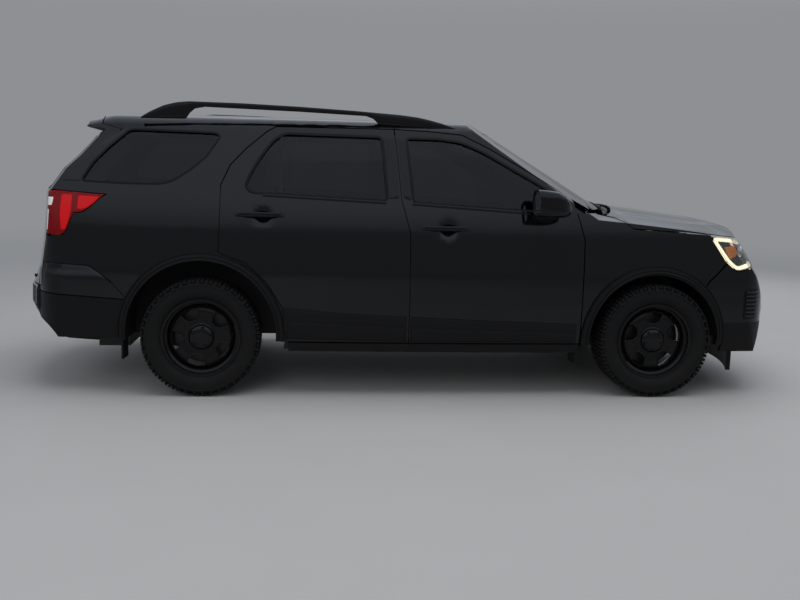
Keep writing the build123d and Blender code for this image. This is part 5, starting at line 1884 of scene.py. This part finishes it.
def steering_shape():
    """Steering wheel with a padded rim, three spokes and a plain hub."""
    shape = Shape()
    hub, axis = STEERING_HUB, STEERING_AXIS
    side = Vector((0, 1, 0))
    up = side.cross(axis).normalized()
    up = up if up.z > 0 else -up
    rim = [(13 * math.cos(a), 186 + 14 * math.sin(a)) for a in full_turn(12)]
    shape.turned(hub, axis, rim, "cabin_plastic", steps=72, loop=True)
    boss = [(-14, 0.1), (-14, 52), (4, 68), (20, 62), (28, 40), (30, 0.1)]
    shape.turned(hub, axis, boss, "cabin_plastic", steps=40)
    for way in (side, -side, -up):
        rows = []
        cross = axis.cross(way)
        for share in np.linspace(0, 1, 9):
            middle = hub + way * (50 + 128 * share) - axis * (4 * math.sin(share * math.pi))
            wide, thick = 0.65 * (30 - 10 * share), 8.0
            rows.append(ring_row(middle, cross * wide, axis * thick, 1.0, 12))
        shape.grid(rows, "trim_plastic", ring=True, caps=True)
    return shape


class VEHICLE_OT_cabin(bpy.types.Operator):
    """Dashboard and steering wheel"""
    bl_idname = "vehicle.cabin"
    bl_label = "Cabin"

    def execute(self, context):
        dashboard_shape().piece("dashboard_units", "body", "cabin_plastic", replaced=["dashboard"])
        steering_shape().piece(
            "steering_wheel_rim", frame["nodes"]["steering_wheel"]["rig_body"], "cabin_plastic",
            replaced=["steering_wheel"],
        )
        return {"FINISHED"}


# Side view of a roof rail: upper edge and lower edge, (x, z)
RAIL_TOP = (
    (-1812, 1694), (-1760, 1728), (-1676, 1768), (-1600, 1788), (-1524, 1796), (-1200, 1794),
    (-846, 1784), (-500, 1769), (-214, 1752), (-100, 1740), (-21, 1724), (60, 1704), (135, 1680),
)
RAIL_LOW = (
    (-1812, 1684), (-1545, 1688), (-1522, 1724), (-1490, 1752), (-1430, 1764), (-846, 1752),
    (-430, 1738), (-385, 1722), (-340, 1680), (135, 1664),
)


class VEHICLE_OT_rails(bpy.types.Operator):
    """Roof rails with a rounded section that run into their feet"""
    bl_idname = "vehicle.rails"
    bl_label = "Roof rails"

    def execute(self, context):
        shape = Shape()
        rows = []
        stretches = ((-1812, 135, 90), (-1560, -1430, 16), (-450, -330, 14))
        for x in np.unique(np.concatenate([np.linspace(*stretch) for stretch in stretches])):
            high = float(np.interp(x, *zip(*RAIL_TOP)))
            low = float(np.interp(x, *zip(*RAIL_LOW)))
            middle, half = (high + low) / 2, max((high - low) / 2, 1.0)
            y = -672 - 0.10 * (1745 - middle)
            ring = (squarish(angle, 0.6) for angle in full_turn(20))
            rows.append([(x, y + 18 * across, middle + half * up) for across, up in ring])
        shape.grid(rows, "rail_paint", ring=True, caps=True)
        shape.both_sides().piece("rail_bars", "body", "trim_plastic", replaced=["roof_rails"])
        return {"FINISHED"}


# Camera: place in metres; yaw, downward pitch and roll in degrees
CAMERA_PLACE = (-0.6331, -6.3516, 1.3946)
CAMERA_TURNS = (5.569, 8.203, 1.462)


class VEHICLE_OT_stage(bpy.types.Operator):
    """Floor, lights, backdrop and camera"""
    bl_idname = "vehicle.stage"
    bl_label = "Stage"

    def execute(self, context):
        settings = context.scene.vehicle_stage
        self.floor(settings)
        self.world(settings)
        self.lights()
        self.camera(settings)
        return {"FINISHED"}

    def floor(self, settings):
        mesh = bpy.data.meshes.new("floor")
        corners = [(60.0 * a, 60.0 * b, 0.0) for a, b in ((-1, -1), (1, -1), (1, 1), (-1, 1))]
        mesh.from_pydata(corners, [], [(0, 1, 2, 3)])
        obj = placed("floor", mesh)
        wiring, shader = new_material("floor")
        place = wiring.node("ShaderNodeTexCoord").outputs["Object"]
        noise = wiring.node("ShaderNodeTexNoise", Vector=place, Scale=2.0, Detail=6.0)
        darker, paler = ((*[c * share for c in settings.floor_colour], 1.0) for share in (0.97, 1.03))
        wiring.join(mixed(wiring, noise.outputs["Fac"], darker, paler), shader.inputs["Base Color"])
        shader.inputs["Roughness"].default_value = 0.8
        away = wiring.node("ShaderNodeVectorMath", {"operation": "LENGTH"}, i0=place).outputs["Value"]
        fade = eased_share(wiring, away, 5.0, 16.0)
        far = wiring.node("ShaderNodeEmission", Color=(*settings.horizon_colour, 1.0), Strength=1.0)
        surface = wiring.tree.nodes["Material Output"].inputs["Surface"]
        wiring.join(blended(wiring, fade, shader, far), surface)
        mesh.materials.append(made_finish("floor"))

    def world(self, settings):
        world = bpy.data.worlds.new("studio")
        bpy.context.scene.world = world
        world.use_nodes = True
        wiring = Wiring(world.node_tree)
        world.node_tree.nodes.clear()
        path = wiring.node("ShaderNodeLightPath")
        seen = math_node(wiring, "MAXIMUM", path.outputs["Is Camera Ray"], path.outputs["Is Glossy Ray"])
        seen = math_node(wiring, "MAXIMUM", seen, path.outputs["Is Transmission Ray"])
        light = wiring.node("ShaderNodeBackground", Color=(0.90, 0.94, 1.0, 1.0), Strength=0.42)
        direction = wiring.node("ShaderNodeTexCoord").outputs["Generated"]
        height = wiring.node("ShaderNodeSeparateXYZ", Vector=direction).outputs["Z"]
        share = eased_share(wiring, height, 0.15, 0.50)
        colour = mixed(wiring, share, (*settings.horizon_colour, 1.0), (*settings.zenith_colour, 1.0))
        backdrop = wiring.node("ShaderNodeBackground", Color=colour, Strength=1.0)
        wiring.node("ShaderNodeOutputWorld", Surface=blended(wiring, seen, light, backdrop))

    def lights(self):
        for name, place, size, power in (
            ("top", (0.5, -1.0, 7.0), 7.0, 320.0),
            ("side", (-3.5, -7.5, 3.6), 4.0, 120.0),
            ("back", (5.5, 5.5, 4.5), 4.0, 100.0),
        ):
            data = bpy.data.lights.new(name, "AREA")
            data.size = size
            data.energy = power
            obj = placed(name, data)
            obj.location = place
            way = Vector((0.2, 0, 0.7)) - Vector(place)
            obj.rotation_euler = way.to_track_quat("-Z", "Y").to_euler()
            obj.visible_glossy = False

    def camera(self, settings):
        data = bpy.data.cameras.new("photo")
        data.sensor_width = 36.0
        data.lens = settings.lens
        yaw, pitch, roll = (math.radians(turn) for turn in CAMERA_TURNS)
        ahead = Vector((math.sin(yaw) * math.cos(pitch), math.cos(yaw) * math.cos(pitch), -math.sin(pitch)))
        level = Vector((math.cos(yaw), -math.sin(yaw), 0.0))
        above = level.cross(ahead)
        right = level * math.cos(roll) + above * math.sin(roll)
        up = above * math.cos(roll) - level * math.sin(roll)
        turn = Matrix((right, up, -ahead)).transposed().to_4x4()
        obj = placed("photo", data)
        obj.matrix_world = Matrix.Translation(CAMERA_PLACE) @ turn
        bpy.context.scene.camera = obj
        bpy.context.scene.view_settings.view_transform = "Standard"


STEPS = (
    VEHICLE_OT_finishes, VEHICLE_OT_panels, VEHICLE_OT_tyres, VEHICLE_OT_wheels, VEHICLE_OT_arches,
    VEHICLE_OT_doors, VEHICLE_OT_lamps, VEHICLE_OT_trim, VEHICLE_OT_rails, VEHICLE_OT_seats,
    VEHICLE_OT_cabin, VEHICLE_OT_stage,
)


class VEHICLE_PT_panel(bpy.types.Panel):
    """Lists the vehicle's pieces in the sidebar"""
    bl_idname = "VEHICLE_PT_panel"
    bl_label = "Vehicle"
    bl_space_type = "VIEW_3D"
    bl_region_type = "UI"
    bl_category = "Vehicle"

    def draw(self, context):
        for name in SETTINGS:
            settings = getattr(context.scene, name)
            box = self.layout.box()
            for value in settings.bl_rna.properties.keys():
                if value not in ("rna_type", "name"):
                    box.prop(settings, value)
        for step in STEPS:
            self.layout.operator(step.bl_idname)


SETTINGS = {
    "vehicle_paint": PaintSettings, "vehicle_tyres": TyreSettings, "vehicle_seats": SeatSettings,
    "vehicle_stage": StageSettings,
}
CLASSES = (*SETTINGS.values(), *STEPS, VEHICLE_PT_panel)


def register():
    for cls in CLASSES:
        bpy.utils.register_class(cls)
    for name, settings in SETTINGS.items():
        setattr(bpy.types.Scene, name, PointerProperty(type=settings))


def unregister():
    for name in SETTINGS:
        delattr(bpy.types.Scene, name)
    for cls in reversed(CLASSES):
        bpy.utils.unregister_class(cls)


def main():
    register()
    for step in STEPS:
        area, name = step.bl_idname.split(".")
        getattr(getattr(bpy.ops, area), name)()


if __name__ == "__main__":
    main()
